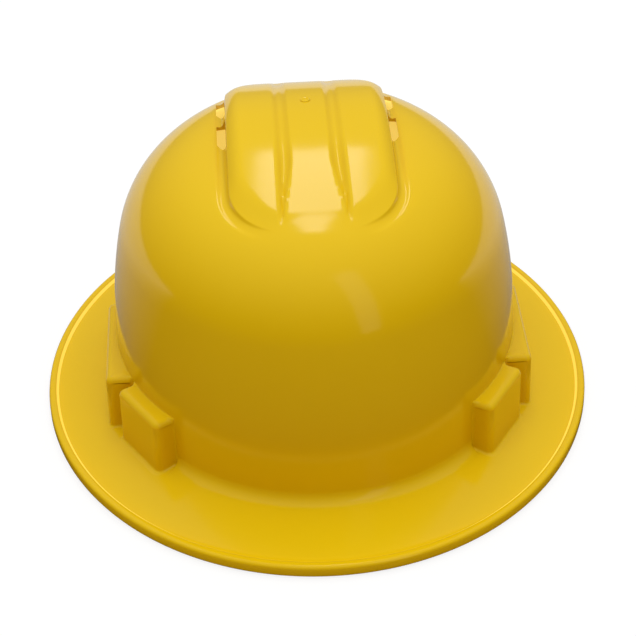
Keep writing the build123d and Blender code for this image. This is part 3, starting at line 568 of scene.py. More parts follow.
def outer_rings():
    """All rings of the outer skin, from the panel to the middle of the rim's foot."""
    grid, rings = crown_rings(0.0, CHANNEL_DEPTH)
    radii, heights = dome_meridian(0.0)[1:]
    proud = smooth(*BOSS_PROUD, oval_radius(place) - DOME_HALF)

    def ring(wall_z, boss_z, share=1.0, inset=0.0, wall_radius=None, boss_out=0.0):
        """One ring: on the wall at one height, and on the bosses at another."""
        radius = np.interp(-wall_z, -heights, radii) if wall_radius is None else wall_radius
        on_wall = wall / DOME_HALF * radius
        shift = out * (boss_out - inset * proud)[:, None]
        on_boss = on_wall + (place + shift - on_wall) * share
        plan = on_wall + (on_boss - on_wall) * weight[:, None]
        rings.append(np.column_stack([plan, wall_z + (boss_z - wall_z) * weight]))

    for z in np.arange(RING_LEVEL - WALL_STEP, BOSS_TOP + WALL_STEP, -WALL_STEP):
        ring(z, z, share=0.0)
    wall_z = BOSS_TOP + WALL_STEP
    for lift, share in BOSS_CREST:
        wall_z -= CREST_STEP
        ring(wall_z, BOSS_TOP + lift, share=share, inset=ROUND_TOP)
    for turn in np.radians(TOP_TURNS):
        wall_z -= CREST_STEP
        boss_z = BOSS_TOP - ROUND_TOP * (1 - math.cos(turn))
        ring(wall_z, boss_z, inset=ROUND_TOP * (1 - math.sin(turn)))
    for z in np.arange(wall_z - 2 * CREST_STEP, FOOT_LEVEL, -WALL_STEP):
        ring(z, z)
    slope = math.atan(brim_slope)
    hub_z = ROOT + ROOT_FILLET * (1 - math.sin(slope)) / math.cos(slope)
    heel = brim_top(place) + BOSS_HEEL
    for step in range(ROOT_STEPS + 1):
        turn = (math.pi / 2 - slope) * step / ROOT_STEPS
        wall_z = hub_z - ROOT_FILLET * math.sin(turn)
        radius = DOME_HALF + ROOT_FILLET * (1 - math.cos(turn))
        down = min(1.0, 2 * step / ROOT_STEPS)
        heel_turn = max(0.0, 2 * step / ROOT_STEPS - 1) * math.pi / 2
        boss_z = (FOOT_LEVEL - FOOT_STEP) * (1 - down) + heel * down
        boss_z = boss_z - BOSS_HEEL * math.sin(heel_turn)
        boss_out = BOSS_HEEL * (1 - math.cos(heel_turn))
        ring(wall_z, boss_z, wall_radius=radius, boss_out=boss_out)
    start = rings[-1][:, :2]
    end = wall_point(turns, rim_inner - RIM_GAP)
    for share in np.arange(1, BRIM_RINGS + 1) / BRIM_RINGS:
        plan = start + (end - start) * share
        rings.append(np.column_stack([plan, brim_top(plan)]))
    rings += [level_ring(BRIM_HALF + reach, z) for reach, z in RIM_PROFILE]
    return grid, rings


outer = outer_rings()
print("rings of the outer skin", len(outer[1]))

# %% [markdown]
# The inner skin has no bosses and no channel. It runs down the dome's inside, turns outwards
# over a small lip and follows the underside of the brim to the rim's foot.

# %% Rings of the inner skin
INNER_WALL_RINGS, INNER_START, UNDER_BRIM_RINGS = 22, 2, 24
LIP, LIP_TOP, LIP_REACH = ((0.1, 0.7), (0.5, 0.15)), 1.5, 1.2
RIM_FOOT = ((0.5, 1.2), (1.0, 0.35), (1.6, 0.0))


def inner_rings():
    """All rings of the inner skin, from the panel to the inner edge of the rim's foot."""
    grid, rings = crown_rings(WALL, 0.0)
    radii, heights = dome_meridian(WALL)[1:]
    under_edge = EDGE_TOP - WALL
    under_inside = under_edge + brim_slope * (RIM_WIDTH + BRIM_HALF - DOME_HALF)
    under_slope = (under_inside - under_edge) / (rim_inner - DOME_HALF + 2 * WALL)
    corner_z = under_inside - under_slope * WALL
    for z in np.linspace(RING_LEVEL - INNER_START, corner_z + LIP_TOP, INNER_WALL_RINGS):
        rings.append(level_ring(np.interp(-z, -heights, radii), z))
    inside = DOME_HALF - WALL
    profile = [(inside + reach, corner_z + z) for reach, z in LIP]
    profile.append((inside + LIP_REACH, corner_z - LIP_REACH * under_slope))
    for radius in np.linspace(DOME_HALF, rim_inner, UNDER_BRIM_RINGS):
        profile.append((radius, under_edge + under_slope * (rim_inner - radius)))
    profile += [(rim_inner + reach, z) for reach, z in RIM_FOOT]
    rings += [level_ring(radius, z) for radius, z in profile]
    return grid, rings


inner = inner_rings()
print("rings of the inner skin", len(inner[1]))

# %% [markdown]
# Each skin becomes points and quads. The last rings of the two skins lie side by side on the
# rim's foot, and one more strip of quads between them closes the shell. A closed mesh matters
# here, because the next step cuts holes in it.

# %% One closed shell
def skin(grid, rings, flip):
    """Points and faces of one skin: the panel's grid and the rings around it."""
    wide, long = grid.shape[:2]
    number = np.arange(wide * long).reshape(wide, long)
    quads = np.stack([number[:-1, :-1], number[1:, :-1], number[1:, 1:], number[:-1, 1:]], -1)
    faces = [quads.reshape(-1, 4)]
    count = len(turns)
    loops = [border(number[..., None])[:, 0]]
    for i in range(len(rings)):
        loops.append(wide * long + i * count + np.arange(count))
    for near, far in zip(loops, loops[1:]):
        quads = [near, far, np.roll(far, -1), np.roll(near, -1)]
        faces.append(np.stack(quads, axis=-1))
    faces = np.concatenate(faces)
    points = np.concatenate([grid.reshape(-1, 3), *rings])
    return points, faces[:, ::-1] if flip else faces, loops[-1]


def mesh_object(name, points, faces, sharp):
    """A mesh object from points in millimetres, shaded smooth up to a sharp angle."""
    mesh = bpy.data.meshes.new(name)
    mesh.from_pydata((np.asarray(points) * MM).tolist(), [], faces)
    mesh.polygons.foreach_set("use_smooth", [True] * len(mesh.polygons))
    mesh.update()
    if sharp:
        mesh.set_sharp_from_angle(angle=math.radians(sharp))
    made = bpy.data.objects.new(name, mesh)
    bpy.context.scene.collection.objects.link(made)
    return made


outer_points, outer_faces, outer_rim = skin(*outer, flip=False)
inner_points, inner_faces, inner_rim = skin(*inner, flip=True)
inner_faces = inner_faces + len(outer_points)
inner_rim = inner_rim + len(outer_points)
bottom = [outer_rim, inner_rim, np.roll(inner_rim, -1), np.roll(outer_rim, -1)]
shell_points = np.concatenate([outer_points, inner_points])
shell_faces = np.concatenate([outer_faces, inner_faces, np.stack(bottom, axis=-1)])
shell = mesh_object("hat_shell", shell_points, shell_faces.tolist(), sharp=0)
print("shell points", len(shell_points), "faces", len(shell_faces))

# %% [markdown]
# Vents let warm air out at the crown, pockets take the keys, and slots take an ear defender or
# a lamp. All are holes with crisp edges, and cutting them out of the closed skin is the
# simplest way to get them. Each cutter is a prism in the solid's size.

# %% Cut the vents, pockets and slots
VENT_NEAR, VENT_FAR = 40.6, 45.0
VENT_STARTS, VENT_LENGTH, VENT_NOSE = (0.0, 33.0), 27.0, 8.0
POCKET_HALF, POCKET_NEAR, POCKET_FAR, POCKET_TOP = 14.7, 0.8, 6.2, 33.0
SLOT_NEAR, SLOT_FAR, SLOT_FRONT, SLOT_REAR = 100.2, 104.7, -43.0, -13.0
BELOW_RIM, BELOW_VENTS, ABOVE_CROWN = -2, 107, 170
CUT_SHARP_ANGLE = math.radians(38)


def prism(outline, low, high):
    """Points and faces of an upright prism over a plan outline."""
    outline = np.array(outline)
    ahead = np.roll(outline, -1, axis=0)
    if np.sum(outline[:, 0] * ahead[:, 1] - outline[:, 1] * ahead[:, 0]) < 0:
        outline = outline[::-1]
    count = len(outline)
    points = np.concatenate([np.column_stack([outline, np.full(count, z)]) for z in (low, high)])
    faces = [list(range(count))[::-1], list(range(count, 2 * count))]
    faces += [[i, (i + 1) % count, (i + 1) % count + count, i + count] for i in range(count)]
    return points, faces


def cut(target, prisms):
    """Take prisms out of a closed mesh."""
    points, faces, start = [], [], 0
    for p, f in prisms:
        points.append(p)
        faces += [[i + start for i in face] for face in f]
        start += len(p)
    mesh = bpy.data.meshes.new("cutter")
    mesh.from_pydata((np.concatenate(points) * MM).tolist(), [], faces)
    cutter = bpy.data.objects.new("cutter", mesh)
    bpy.context.scene.collection.objects.link(cutter)
    modifier = target.modifiers.new("cut", "BOOLEAN")
    modifier.operation, modifier.solver, modifier.object = "DIFFERENCE", "MANIFOLD", cutter
    graph = bpy.context.evaluated_depsgraph_get()
    result = bpy.data.meshes.new_from_object(target.evaluated_get(graph))
    target.modifiers.clear()
    target.data = result
    bpy.data.objects.remove(cutter)
    return len(result.polygons)


cutters = []
for side in (-1, 1):
    for start in VENT_STARTS:
        nose, end = start + VENT_NOSE, start + VENT_LENGTH
        outline = [(VENT_NEAR, start), (VENT_NEAR, end), (VENT_FAR, end), (VENT_FAR, nose)]
        outline = [(side * x, y) for x, y in outline]
        cutters.append(prism(outline, BELOW_VENTS, ABOVE_CROWN))
    near, far = side * SLOT_NEAR, side * SLOT_FAR
    outline = [(near, SLOT_FRONT), (near, SLOT_REAR), (far, SLOT_REAR), (far, SLOT_FRONT)]
    cutters.append(prism(outline, BELOW_RIM, POCKET_TOP))
    for azimuth in KEY_AZIMUTHS:
        middle, along, across = key_frame(side * azimuth)
        box = [(-POCKET_HALF, POCKET_NEAR), (POCKET_HALF, POCKET_NEAR)]
        box += [(POCKET_HALF, POCKET_FAR), (-POCKET_HALF, POCKET_FAR)]
        outline = [middle + along * u + across * v for u, v in box]
        cutters.append(prism(outline, BELOW_RIM, POCKET_TOP))
print("faces after the cuts", cut(shell, cutters))
shell.data.polygons.foreach_set("use_smooth", [True] * len(shell.data.polygons))
shell.data.set_sharp_from_angle(angle=CUT_SHARP_ANGLE)
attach(shell, "root")
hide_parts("shell")

# %% [markdown]
# Many of the smaller pieces are lofts: rings of points, one after another, joined by quads and
# closed at both ends. One helper makes them all. It can also keep each point's place along
# and across a strap, which the weave needs later.

# %% A helper for lofts
def loft(name, *ring_sets, flat=None, sharp=35):
    """A piece made of closed lofts, each through its own rings of points, with capped ends."""
    points, faces, start = [], [], 0
    for rings in ring_sets:
        rings = np.asarray(rings, float)
        number = start + np.arange(rings.shape[0] * rings.shape[1]).reshape(rings.shape[:2])
        ahead = np.roll(number, -1, axis=1)
        quads = np.stack([number[:-1], ahead[:-1], ahead[1:], number[1:]], axis=-1)
        faces += quads.reshape(-1, 4).tolist() + [number[0, ::-1].tolist(), number[-1].tolist()]
        points.append(rings.reshape(-1, 3))
        start += number.size
    made = mesh_object(name, np.concatenate(points), faces, sharp)
    if flat is not None:
        corner = np.empty(len(made.data.loops), int)
        made.data.loops.foreach_get("vertex_index", corner)
        layer = made.data.uv_layers.new(name="flat")
        layer.data.foreach_set("uv", np.asarray(flat).reshape(-1, 2)[corner].ravel())
    return made


print("loft helper ready")

# %% [markdown]
# The mould was filled through a gate on the crown, and a small round stub with a hollow middle
# stays where it was. It could be cut into the shell's mesh, but it is so small that a loft of
# circles, set a little into the middle rib, looks the same.

# %% The gate mark
GATE_Y, GATE_SIDES = 29.5, 24
GATE_PROFILE = (
    (2.9, -1.2), (2.9, -0.05), (2.5, 0.12), (2.35, 0.5), (2.1, 0.65), (1.5, 0.6), (1.1, 0.3),
    (0.1, 0.3),
)
gate_z = float(panel_height(np.array([0.0]), np.array([GATE_Y]), 0.0, np.array([0.0]))[0])
around = np.linspace(0, 2 * math.pi, GATE_SIDES, endpoint=False)
circle = np.column_stack([np.cos(around), np.sin(around)])
stub = []
for radius, rise in GATE_PROFILE:
    plan = circle * radius + (0, GATE_Y)
    stub.append(np.column_stack([plan, np.full(GATE_SIDES, gate_z + rise)]))
gate = loft("gate_mark", stub)
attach(gate, "root")
print("gate mark at height", round(gate_z, 2))

# %% [markdown]
# ## The yellow plastic
# The shell is moulded polyethylene: glossy, a little waxy, and coloured all through. Light from
# above is painted into its colour: faces that point up get a paler yellow as painted light, and
# steep faces a darker yellow as painted shade, with soft clouds over it. Very faint ripples keep
# the reflections from looking like glass.
#
# Some light comes through the thin wall, and in the photograph it makes the vents pale. Real
# scattering inside the plastic would be slow and would be lost in the export, so the inner skin
# gives off a little light of its own. A place is on the inner skin where its normal points
# towards the middle of the hat.

# %% Yellow plastic
FACING_SHARE, CLOUD_SHARE, SHARE_OFFSET = 0.9, 0.2, 0.05
MIDDLE_BELOW, INSIDE_STEEPNESS, INSIDE_START = 0.02, 40, 1.6
yellow, shader, place = material("yellow_plastic", roughness=0.12, IOR=1.5)
cloud = place.node("ShaderNodeTexNoise", {"Vector": place, "Scale": 14.0, "Detail": 3.0})
normal = place.node("ShaderNodeNewGeometry", output="Normal")
upward = normal.node("ShaderNodeSeparateXYZ", {0: normal}, output=2)
# Painted light and shade: the paler yellow stands for light from above on faces that point up, and
# the darker one for shade on steep faces.
shaded_yellow, level = linear(224, 172, 2), linear(238, 197, 12)
painted_light_share = upward * FACING_SHARE + cloud * CLOUD_SHARE - SHARE_OFFSET
feed(shader, "Base Color", painted_light_share.mix(shaded_yellow, level))
ripple = place.node("ShaderNodeTexNoise", {"Vector": place, "Scale": 55.0, "Detail": 2.0})
bump = {"Height": ripple, "Strength": 0.02, "Distance": 0.002}
feed(shader, "Normal", place.node("ShaderNodeBump", bump))
rounder = {0: place, 1: (1, PLAN**-2, 1)}
outward = place.node("ShaderNodeVectorMath", rounder, operation="MULTIPLY")
outward = place.node("ShaderNodeVectorMath", {0: outward, 1: (0, 0, MIDDLE_BELOW)}, operation="ADD")
dot = {"output": "Value", "operation": "DOT_PRODUCT"}
facing = normal.node("ShaderNodeVectorMath", {0: normal, 1: outward}, **dot)
inside = facing.node("ShaderNodeClamp", {0: (0 - facing) * INSIDE_STEEPNESS - INSIDE_START})
feed(shader, "Emission Color", inside.mix((0, 0, 0, 1), linear(236, 220, 110)))
shader.inputs["Emission Strength"].default_value = 0.6
for piece in (shell, gate):
    piece.data.materials.clear()
    piece.data.materials.append(yellow)
print("yellow plastic on", shell.name, "and", gate.name)

# %% [markdown]
# ## Finishes for the pieces inside
# The keys, the ratchet, the knob and the band are moulded plastic with a fine satin grain, and
# the screws are zinc plated steel. Their solids already have the right shapes, so they stay
# and only get a finish. One recipe serves them all: a colour with slight clouds and a fine
# bump. Webbing and cloth get a plain version here, and their own weave later.

# %% Finishes for the solids
GRAIN_DISTANCE, CLOUD_SHADE = 0.0005, 0.8


def plain_finish(name, colour, roughness, grain, depth=0.1, **uniform):
    """A moulded finish: one colour with slight clouds, and a fine grain."""
    made, shader, place = material(name, roughness=roughness, **uniform)
    cloud = place.node("ShaderNodeTexNoise", {"Vector": place, "Scale": 40.0, "Detail": 2.0})
    darker = tuple(c * CLOUD_SHADE for c in colour[:3]) + (1.0,)
    feed(shader, "Base Color", cloud.mix(darker, colour))
    fine = place.node("ShaderNodeTexNoise", {"Vector": place, "Scale": grain, "Detail": 2.0})
    bump = {"Height": fine, "Strength": depth, "Distance": GRAIN_DISTANCE}
    feed(shader, "Normal", place.node("ShaderNodeBump", bump))
    return made


finishes = {
    "black_plastic": plain_finish("black_moulding", linear(30, 30, 32), 0.45, 2500.0),
    "grey_plastic": plain_finish("grey_moulding", linear(138, 140, 142), 0.4, 2500.0),
    "band_plastic": plain_finish("band_moulding", linear(56, 56, 60), 0.38, 1800.0),
    "webbing": plain_finish("plain_webbing", linear(40, 40, 42), 0.8, 900.0, 0.5),
    "pad_fabric": plain_finish("plain_cloth", linear(60, 60, 64), 0.95, 1500.0, 0.5),
    "screw_steel": plain_finish("zinc_steel", linear(190, 190, 192), 0.3, 3000.0, Metallic=1.0),
}
slots = {s["node"]: s["material_slot"] for s in frame["record"]["subparts"]}
for name, node in nodes.items():
    if slots[name] in finishes:
        node.data.materials.clear()
        node.data.materials.append(finishes[slots[name]])
print("finishes", len(finishes))

# %% [markdown]
# ## Webbing
# The photograph doesn't show the inside, so the pieces there follow what such hats have. Two
# straps cross over the head. Each hooks round the bar of one key, is sewn to itself, runs up
# the wall and over to the key across from it. A curve with a bevel would twist a flat strap, so
# each is a loft: a flat section with soft edges, set along the path and turned to lie flat.

# %% A flat ribbon along a path
RIBBON_SECTION = (
    (1, 0.45, -1), (1, 0.13, -0.7), (1, 0, -0.2), (1, 0, 0.2), (1, 0.13, 0.7), (1, 0.45, 1),
    (0.5, 0, 1), (0, 0, 1), (-0.5, 0, 1),
    (-1, -0.45, 1), (-1, -0.13, 0.7), (-1, 0, 0.2), (-1, 0, -0.2), (-1, -0.13, -0.7),
    (-1, -0.45, -1), (-0.5, 0, -1), (0, 0, -1), (0.5, 0, -1),
)
KEYS = {}
for end, azimuth in zip(("front", "rear"), KEY_AZIMUTHS):
    KEYS[f"{end}_left"], KEYS[f"{end}_right"] = -azimuth, azimuth


def ribbon_rings(path, wide, half, thick):
    """Rings of a flat strip along a path, and each point's place along and across it."""
    wide = wide / np.linalg.norm(wide, axis=1)[:, None]
    ahead = np.gradient(path, axis=0)
    face = np.cross(ahead, wide)
    face /= np.linalg.norm(face, axis=1)[:, None]
    share, inset, level = np.array(RIBBON_SECTION).T
    half = np.broadcast_to(half, len(path))
    across = half[:, None] * share - inset
    rings = path[:, None] + wide[:, None] * across[..., None]
    rings = rings + face[:, None] * (level * thick / 2)[None, :, None]
    steps = np.linalg.norm(np.diff(path, axis=0), axis=1)
    along = np.concatenate([[0], np.cumsum(steps)])
    return rings, np.stack([np.broadcast_to(along[:, None], across.shape), across], axis=-1)


def at_key(azimuth, line):
    """A line of places (out, up) at one key as points of the hat."""
    middle, along, out = key_frame(azimuth)
    line = np.asarray(line)
    return np.column_stack([middle + line[:, :1] * out, line[:, 1]])


print("keys at", KEYS)

# %% [markdown]
# A crown strap is three runs: up from its loop at one key, over in half an ellipse, and down to
# the loop at the other key. Where the two cross, the lower one passes under the upper one with
# a little room between them. Drawing each strap through its few real places keeps it at an even
# width, which a cloth simulation would not.

# %% Crown straps
STRAP_HALF, STRAP_THICK = 9.5, 1.2
STRAP_LOOP = [(-5.55, 24.6), (-5.55, 17.0), (-8.9, 11.0), (-8.9, 5.3), (-4.3, 5.3), (-4.3, 26.0)]
STRAP_LOOP_RADII, LOOP_STEP = (3.0, 2.4, 1.5, 1.5), 0.6
SPRING_INSET, SPRING_HEIGHT = 7.0, 50.0
ARCH_POINTS, RUN_POINTS = 90, 16
CRESTS = {"lower": 104.0, "upper": 106.1}


def crown_strap(name, start, end, crest):
    """Webbing from one key over the head to the key across from it."""
    loop = rounded(STRAP_LOOP, STRAP_LOOP_RADII, LOOP_STEP)
    springs = [key_frame(a)[0] - key_frame(a)[2] * SPRING_INSET for a in (start, end)]
    centre, across = (springs[0] + springs[1]) / 2, springs[1] - springs[0]
    half = np.linalg.norm(across) / 2
    across = across / np.linalg.norm(across)
    square = np.array([across[1], -across[0], 0])
    turn = np.linspace(0, math.pi, ARCH_POINTS)
    rise = crest - SPRING_HEIGHT - STRAP_THICK / 2
    arch = centre - across * half * np.cos(turn)[:, None]
    arch = np.column_stack([arch, SPRING_HEIGHT + rise * np.sin(turn)])
    runs, wides = [], []
    for azimuth, spring in ((start, arch[0]), (end, arch[-1])):
        foot = at_key(azimuth, loop)
        along = np.append(key_frame(azimuth)[1], 0)
        along *= np.sign(along @ square)
        share = np.linspace(0, 1, RUN_POINTS)[1:-1, None]
        runs.append(np.concatenate([foot, foot[-1] + (spring - foot[-1]) * share]))
        beside = np.tile(along, (len(foot), 1))
        wides.append(np.concatenate([beside, along + (square - along) * share]))
    path = np.concatenate([runs[0], arch, runs[1][::-1]])
    wide = np.concatenate([wides[0], np.tile(square, (len(arch), 1)), wides[1][::-1]])
    rings, flat = ribbon_rings(path, wide, STRAP_HALF, STRAP_THICK)
    return loft(name, rings, flat=flat, sharp=60)


straps = {
    "lower": crown_strap("webbing_lower", KEYS["front_left"], KEYS["rear_right"], CRESTS["lower"]),
    "upper": crown_strap("webbing_upper", KEYS["front_right"], KEYS["rear_left"], CRESTS["upper"]),
}
print("straps", len(straps), "points", len(straps["lower"].data.vertices))

# %% [markdown]
# Webbing is woven in slanted ribs that meet in the middle of the strap. The pattern has to run
# along the strap wherever it turns, so it reads the places along and across that the loft kept.

# %% The weave of the straps
RIB_ALONG, RIB_ACROSS, CORD_ACROSS = 4.2, 2.1, 3.3


def woven(name, colour, light):
    """Webbing: slanted ribs that meet in the middle of the strap, and a fuzzy grain."""
    made, shader, place = material(name, roughness=0.7)
    flat = place.node("ShaderNodeTexCoord", output="UV")
    along = flat.node("ShaderNodeSeparateXYZ", {0: flat}, output=0)
    across = flat.node("ShaderNodeSeparateXYZ", {0: flat}, output=1)
    slant = along * RIB_ALONG + across.math("ABSOLUTE", across) * RIB_ACROSS
    yarn = slant.math("SINE", slant) * 0.5 + 0.5
    cord = across.math("SINE", across * CORD_ACROSS) * 0.5 + 0.5
    fuzz = place.node("ShaderNodeTexNoise", {"Vector": place, "Scale": 1800.0, "Detail": 2.0})
    feed(shader, "Base Color", (yarn * 0.6 + fuzz * 0.4).mix(colour, light))
    bump = {"Height": yarn * 0.7 + cord * 0.3 + fuzz * 0.3, "Strength": 0.7, "Distance": 0.0004}
    feed(shader, "Normal", place.node("ShaderNodeBump", bump))
    return made


webbing = woven("webbing_weave", linear(44, 44, 47), linear(84, 84, 89))
for word, strap in straps.items():
    strap.data.materials.append(webbing)
    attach(strap, "root")
    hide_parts(f"crown_strap_{word}")
print("woven straps", list(straps))

# %% [markdown]
# Each strap end is sewn with two rows of thread and a cross between them. A stitch is a short
# bead that lies on the strap. Bump in the material could only hint at it, so the beads are real
# lofts, all in one mesh.

# %% Stitches
SEAM_OUT, SEAM_LOW, SEAM_HIGH, SEAM_HALF = -6.2, 18.4, 23.6, 7.2
THREAD_THICK, THREAD_SIDES = 0.4, 6
BEAD_PROFILE = ((0, 0.2), (0.12, 0.8), (0.35, 1), (0.65, 1), (0.88, 0.8), (1, 0.2))
NOT_ALONG_A_STITCH = (0.31, 0.17, 0.93)


def beads(name, ends, thick):
    """Short rounded stitches between pairs of points, as one mesh."""
    sets = []
    swing = np.linspace(0, 2 * math.pi, THREAD_SIDES + 1)[:-1]
    for a, b in ends:
        a, b = np.asarray(a, float), np.asarray(b, float)
        way = (b - a) / np.linalg.norm(b - a)
        side = np.cross(way, NOT_ALONG_A_STITCH)
        side /= np.linalg.norm(side)
        lift = np.cross(way, side)
        ring = np.cos(swing)[:, None] * side + np.sin(swing)[:, None] * lift
        sets.append([a + (b - a) * s + ring * thick / 2 * r for s, r in BEAD_PROFILE])
    return loft(name, *sets, sharp=0)


def row(start, end, step=2.0, stitch=1.5):
    """Pairs of ends for a row of stitches from start to end."""
    start, end = np.asarray(start, float), np.asarray(end, float)
    length = np.linalg.norm(end - start)
    count = max(1, round(length / step))
    way = (end - start) / length
    places = [start + (end - start) * (i + 0.5) / count for i in range(count)]
    return [(p - way * stitch / 2, p + way * stitch / 2) for p in places]


thread = plain_finish("sewing_thread", linear(120, 118, 112), 0.6, 3000.0)
stitches = []
for azimuth in KEYS.values():
    middle, along, out = key_frame(azimuth)
    seam = middle + out * SEAM_OUT
    low_left, high_left, low_right, high_right = (
        np.append(seam + along * u * SEAM_HALF, z) for u in (-1, 1) for z in (SEAM_LOW, SEAM_HIGH)
    )
    stitches += row(low_left, low_right) + row(high_left, high_right)
    stitches += row(low_left, high_right) + row(high_left, low_right)
seams = beads("strap_stitches", stitches, THREAD_THICK)
seams.data.materials.append(thread)
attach(seams, "root")
print("stitches", len(stitches))

# %% [markdown]
# ## Hangers
# A flexible tongue joins each key to the headband. It hooks under the key with one leg on each
# side of the webbing, narrows, and ends in a rounded top at the band's stud. It is made of three
# ribbons along one rounded path.

# %% Hangers
HANGER_THICK, HANGER_HALF, TONGUE_HALF = 1.2, 13.5, 6.5
LEG_INNER, LEG_TOP, CLIP_IN, CLIP_UP = 10.3, 9.8, -8.0, 5.3
EAR_OUT, EAR_TOP, TONGUE_FOOT, TONGUE_CLEAR = -10.5, 11.0, 18.2, 24.0
TONGUE_TOP, TONGUE_ROUND = 34.0, 4.0
TONGUE_ROUND_LIMIT, TONGUE_ROUND_SHARE = 0.97, 0.6
NARROWING = (14.5, 19.0)
HANGER_RADII, HANGER_STEP = (1.2, 1.6, 2.0), 0.5
for name, azimuth in KEYS.items():
    middle, along, out = key_frame(azimuth)
    solid = nodes[f"hanger_{name}"]
    spots = np.array([tuple(solid.matrix_world @ v.co) for v in solid.data.vertices]) / MM
    depths = (spots[spots[:, 2] > TONGUE_CLEAR][:, :2] - middle) @ out
    tongue = float(np.mean([depths.min(), depths.max()]))
    bends = [(CLIP_IN, CLIP_UP), (EAR_OUT, CLIP_UP), (EAR_OUT, EAR_TOP)]
    bends += [(tongue, TONGUE_FOOT), (tongue, TONGUE_TOP)]
    path = at_key(azimuth, rounded(bends, HANGER_RADII, HANGER_STEP))
    fork = int(np.argmax(path[:, 2] >= LEG_TOP))
    wide = np.tile(np.append(along, 0), (len(path), 1))
    z = path[fork:, 2]
    half = HANGER_HALF + (TONGUE_HALF - HANGER_HALF) * smooth(*NARROWING, z)
    past = np.clip((z - TONGUE_TOP + TONGUE_ROUND) / TONGUE_ROUND, 0, TONGUE_ROUND_LIMIT)
    half = half * np.sqrt(1 - past**2 * TONGUE_ROUND_SHARE)
    sets = [ribbon_rings(path[fork:], wide[fork:], half, HANGER_THICK)[0]]
    low, low_wide = path[: fork + 1], wide[: fork + 1]
    for way in (-1, 1):
        leg = low + low_wide * way * (HANGER_HALF + LEG_INNER) / 2
        half = (HANGER_HALF - LEG_INNER) / 2
        sets.append(ribbon_rings(leg, low_wide, half, HANGER_THICK)[0])
    hanger = loft(f"tongue_{name}", *sets)
    hanger.data.materials.append(finishes["band_plastic"])
    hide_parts(f"hanger_{name}")
    start, end = at_key(azimuth, [(EAR_OUT, EAR_TOP), (tongue, TONGUE_CLEAR)]) * MM
    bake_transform(hanger)
print("hangers", len(KEYS))

# %% [markdown]
# ## Pads
# A pad is foam under knitted cloth, flat at the back, with a sewn border and a soft front, and
# quilting lines across it. Cloth simulation would puff it up, but these pads are thin and
# stitched down all round, so a written section gives the same shape and keeps its seams.

# %% A pad along a line
PAD_UPPER = (0.12, 0.35, 0.55, 0.7, 0.8, 0.86, 0.92, 0.97, 1)
PAD_HEIGHTS = np.array([-level for level in PAD_UPPER[::-1]] + list(PAD_UPPER))
PAD_BACK = np.array((0.96, 0.6, 0.2, -0.2, -0.6, -0.96))
PAD_CORNER, PAD_END_LEAST, PAD_LIFT = 5.0, 0.4, 0.05
BORDER, BORDER_SHARE, HEM, HEM_SHARE = 0.84, 0.34, 0.99, 0.5
PUFF_WIDTH, PUFF_FULLNESS, PUFF_RUN = 3.2, 0.6, (1.5, 9.0)
QUILT_STEP, QUILT_HALF, QUILT_DEPTH = 26.0, 2.4, 0.45


def pad_rings(places, inward, along, thick, low, high, round_ends):
    """Rings of a pad along plan places: flat at the back, with a border and a soft front."""
    length = along[-1]
    to_start = along if round_ends[0] else length
    to_finish = length - along if round_ends[1] else length
    middle, half = (low + high) / 2, (high - low) / 2
    upness = np.abs(PAD_HEIGHTS)
    rings = []
    for plan, way, s, end in zip(places, inward, along, np.minimum(to_start, to_finish)):
        corner = max(0.0, PAD_CORNER - end)
        tall = half - PAD_CORNER + math.sqrt(max(PAD_CORNER**2 - corner**2, PAD_END_LEAST))
        puff = np.clip(1 - (upness / BORDER) ** PUFF_WIDTH, 0, 1) ** PUFF_FULLNESS
        puff = puff * float(smooth(*PUFF_RUN, end))
        nearest = abs((s + QUILT_STEP / 2) % QUILT_STEP - QUILT_STEP / 2)
        puff = puff * (1 - QUILT_DEPTH * math.exp(-((nearest / QUILT_HALF) ** 2)))
        depth = thick * (BORDER_SHARE + (1 - BORDER_SHARE) * puff)
        depth = depth * np.where(upness > HEM, HEM_SHARE, 1)
        front = np.column_stack([plan + depth[:, None] * way, middle + tall * PAD_HEIGHTS])
        back = np.tile(plan, (len(PAD_BACK), 1)) + PAD_LIFT * way
        back = np.column_stack([back, middle + tall * PAD_BACK])
        rings.append(np.concatenate([front, back]))
    return np.array(rings)


print("pad section points", len(PAD_HEIGHTS) + len(PAD_BACK))

# %% [markdown]
# Terry cloth is knitted in small loops. Voronoi cells stand for the loops and noise for the
# loose fibres between them, and both also raise the surface a little.

# %% Pad cloth
def cloth(name, colour, light):
    """Knitted cloth: small loops in rows, with a soft sheen of lighter fibre."""
    made, shader, place = material(name, roughness=0.9)
    loops = place.node("ShaderNodeTexVoronoi", {"Vector": place, "Scale": 900.0}, output="Distance")
    fuzz = place.node("ShaderNodeTexNoise", {"Vector": place, "Scale": 300.0, "Detail": 4.0})
    feed(shader, "Base Color", (loops * 0.8 + fuzz * 0.4 - 0.1).mix(light, colour))
    bump = {"Height": loops * 0.7 + fuzz * 0.5, "Strength": 0.6, "Distance": 0.0006}
    feed(shader, "Normal", place.node("ShaderNodeBump", bump))
    return made


pad_cloth = cloth("pad_cloth", linear(66, 68, 74), linear(112, 114, 121))
print("cloth", pad_cloth.name)

# %% [markdown]
# The brow pad follows the inside of the headband, which in plan is a brow arc, a side arc and a
# corner arc on to the rack. It is made as two halves that meet at the middle of the brow, where
# the band's two halves are hinged.

# %% Brow pad
HINGE_Y, RACK_RADIUS, LAYER_STEP, ARC_REACH = -109.0, 200.0, 1.1, 41.0
BROW_TURN, SIDE_TURN, SIDE_RADIUS = math.radians(50), math.radians(115), 148.0
BROW_POINTS, SIDE_POINTS = 60, 400
PAD_NEAR, PAD_THICK, PAD_LOW, PAD_HIGH, PAD_END = 1.2, 5.0, 8.5, 43.5, -62.0
BEND_Y, BEND_HEIGHT, BEND_WIDTH = -0.105, 0.026, 0.02


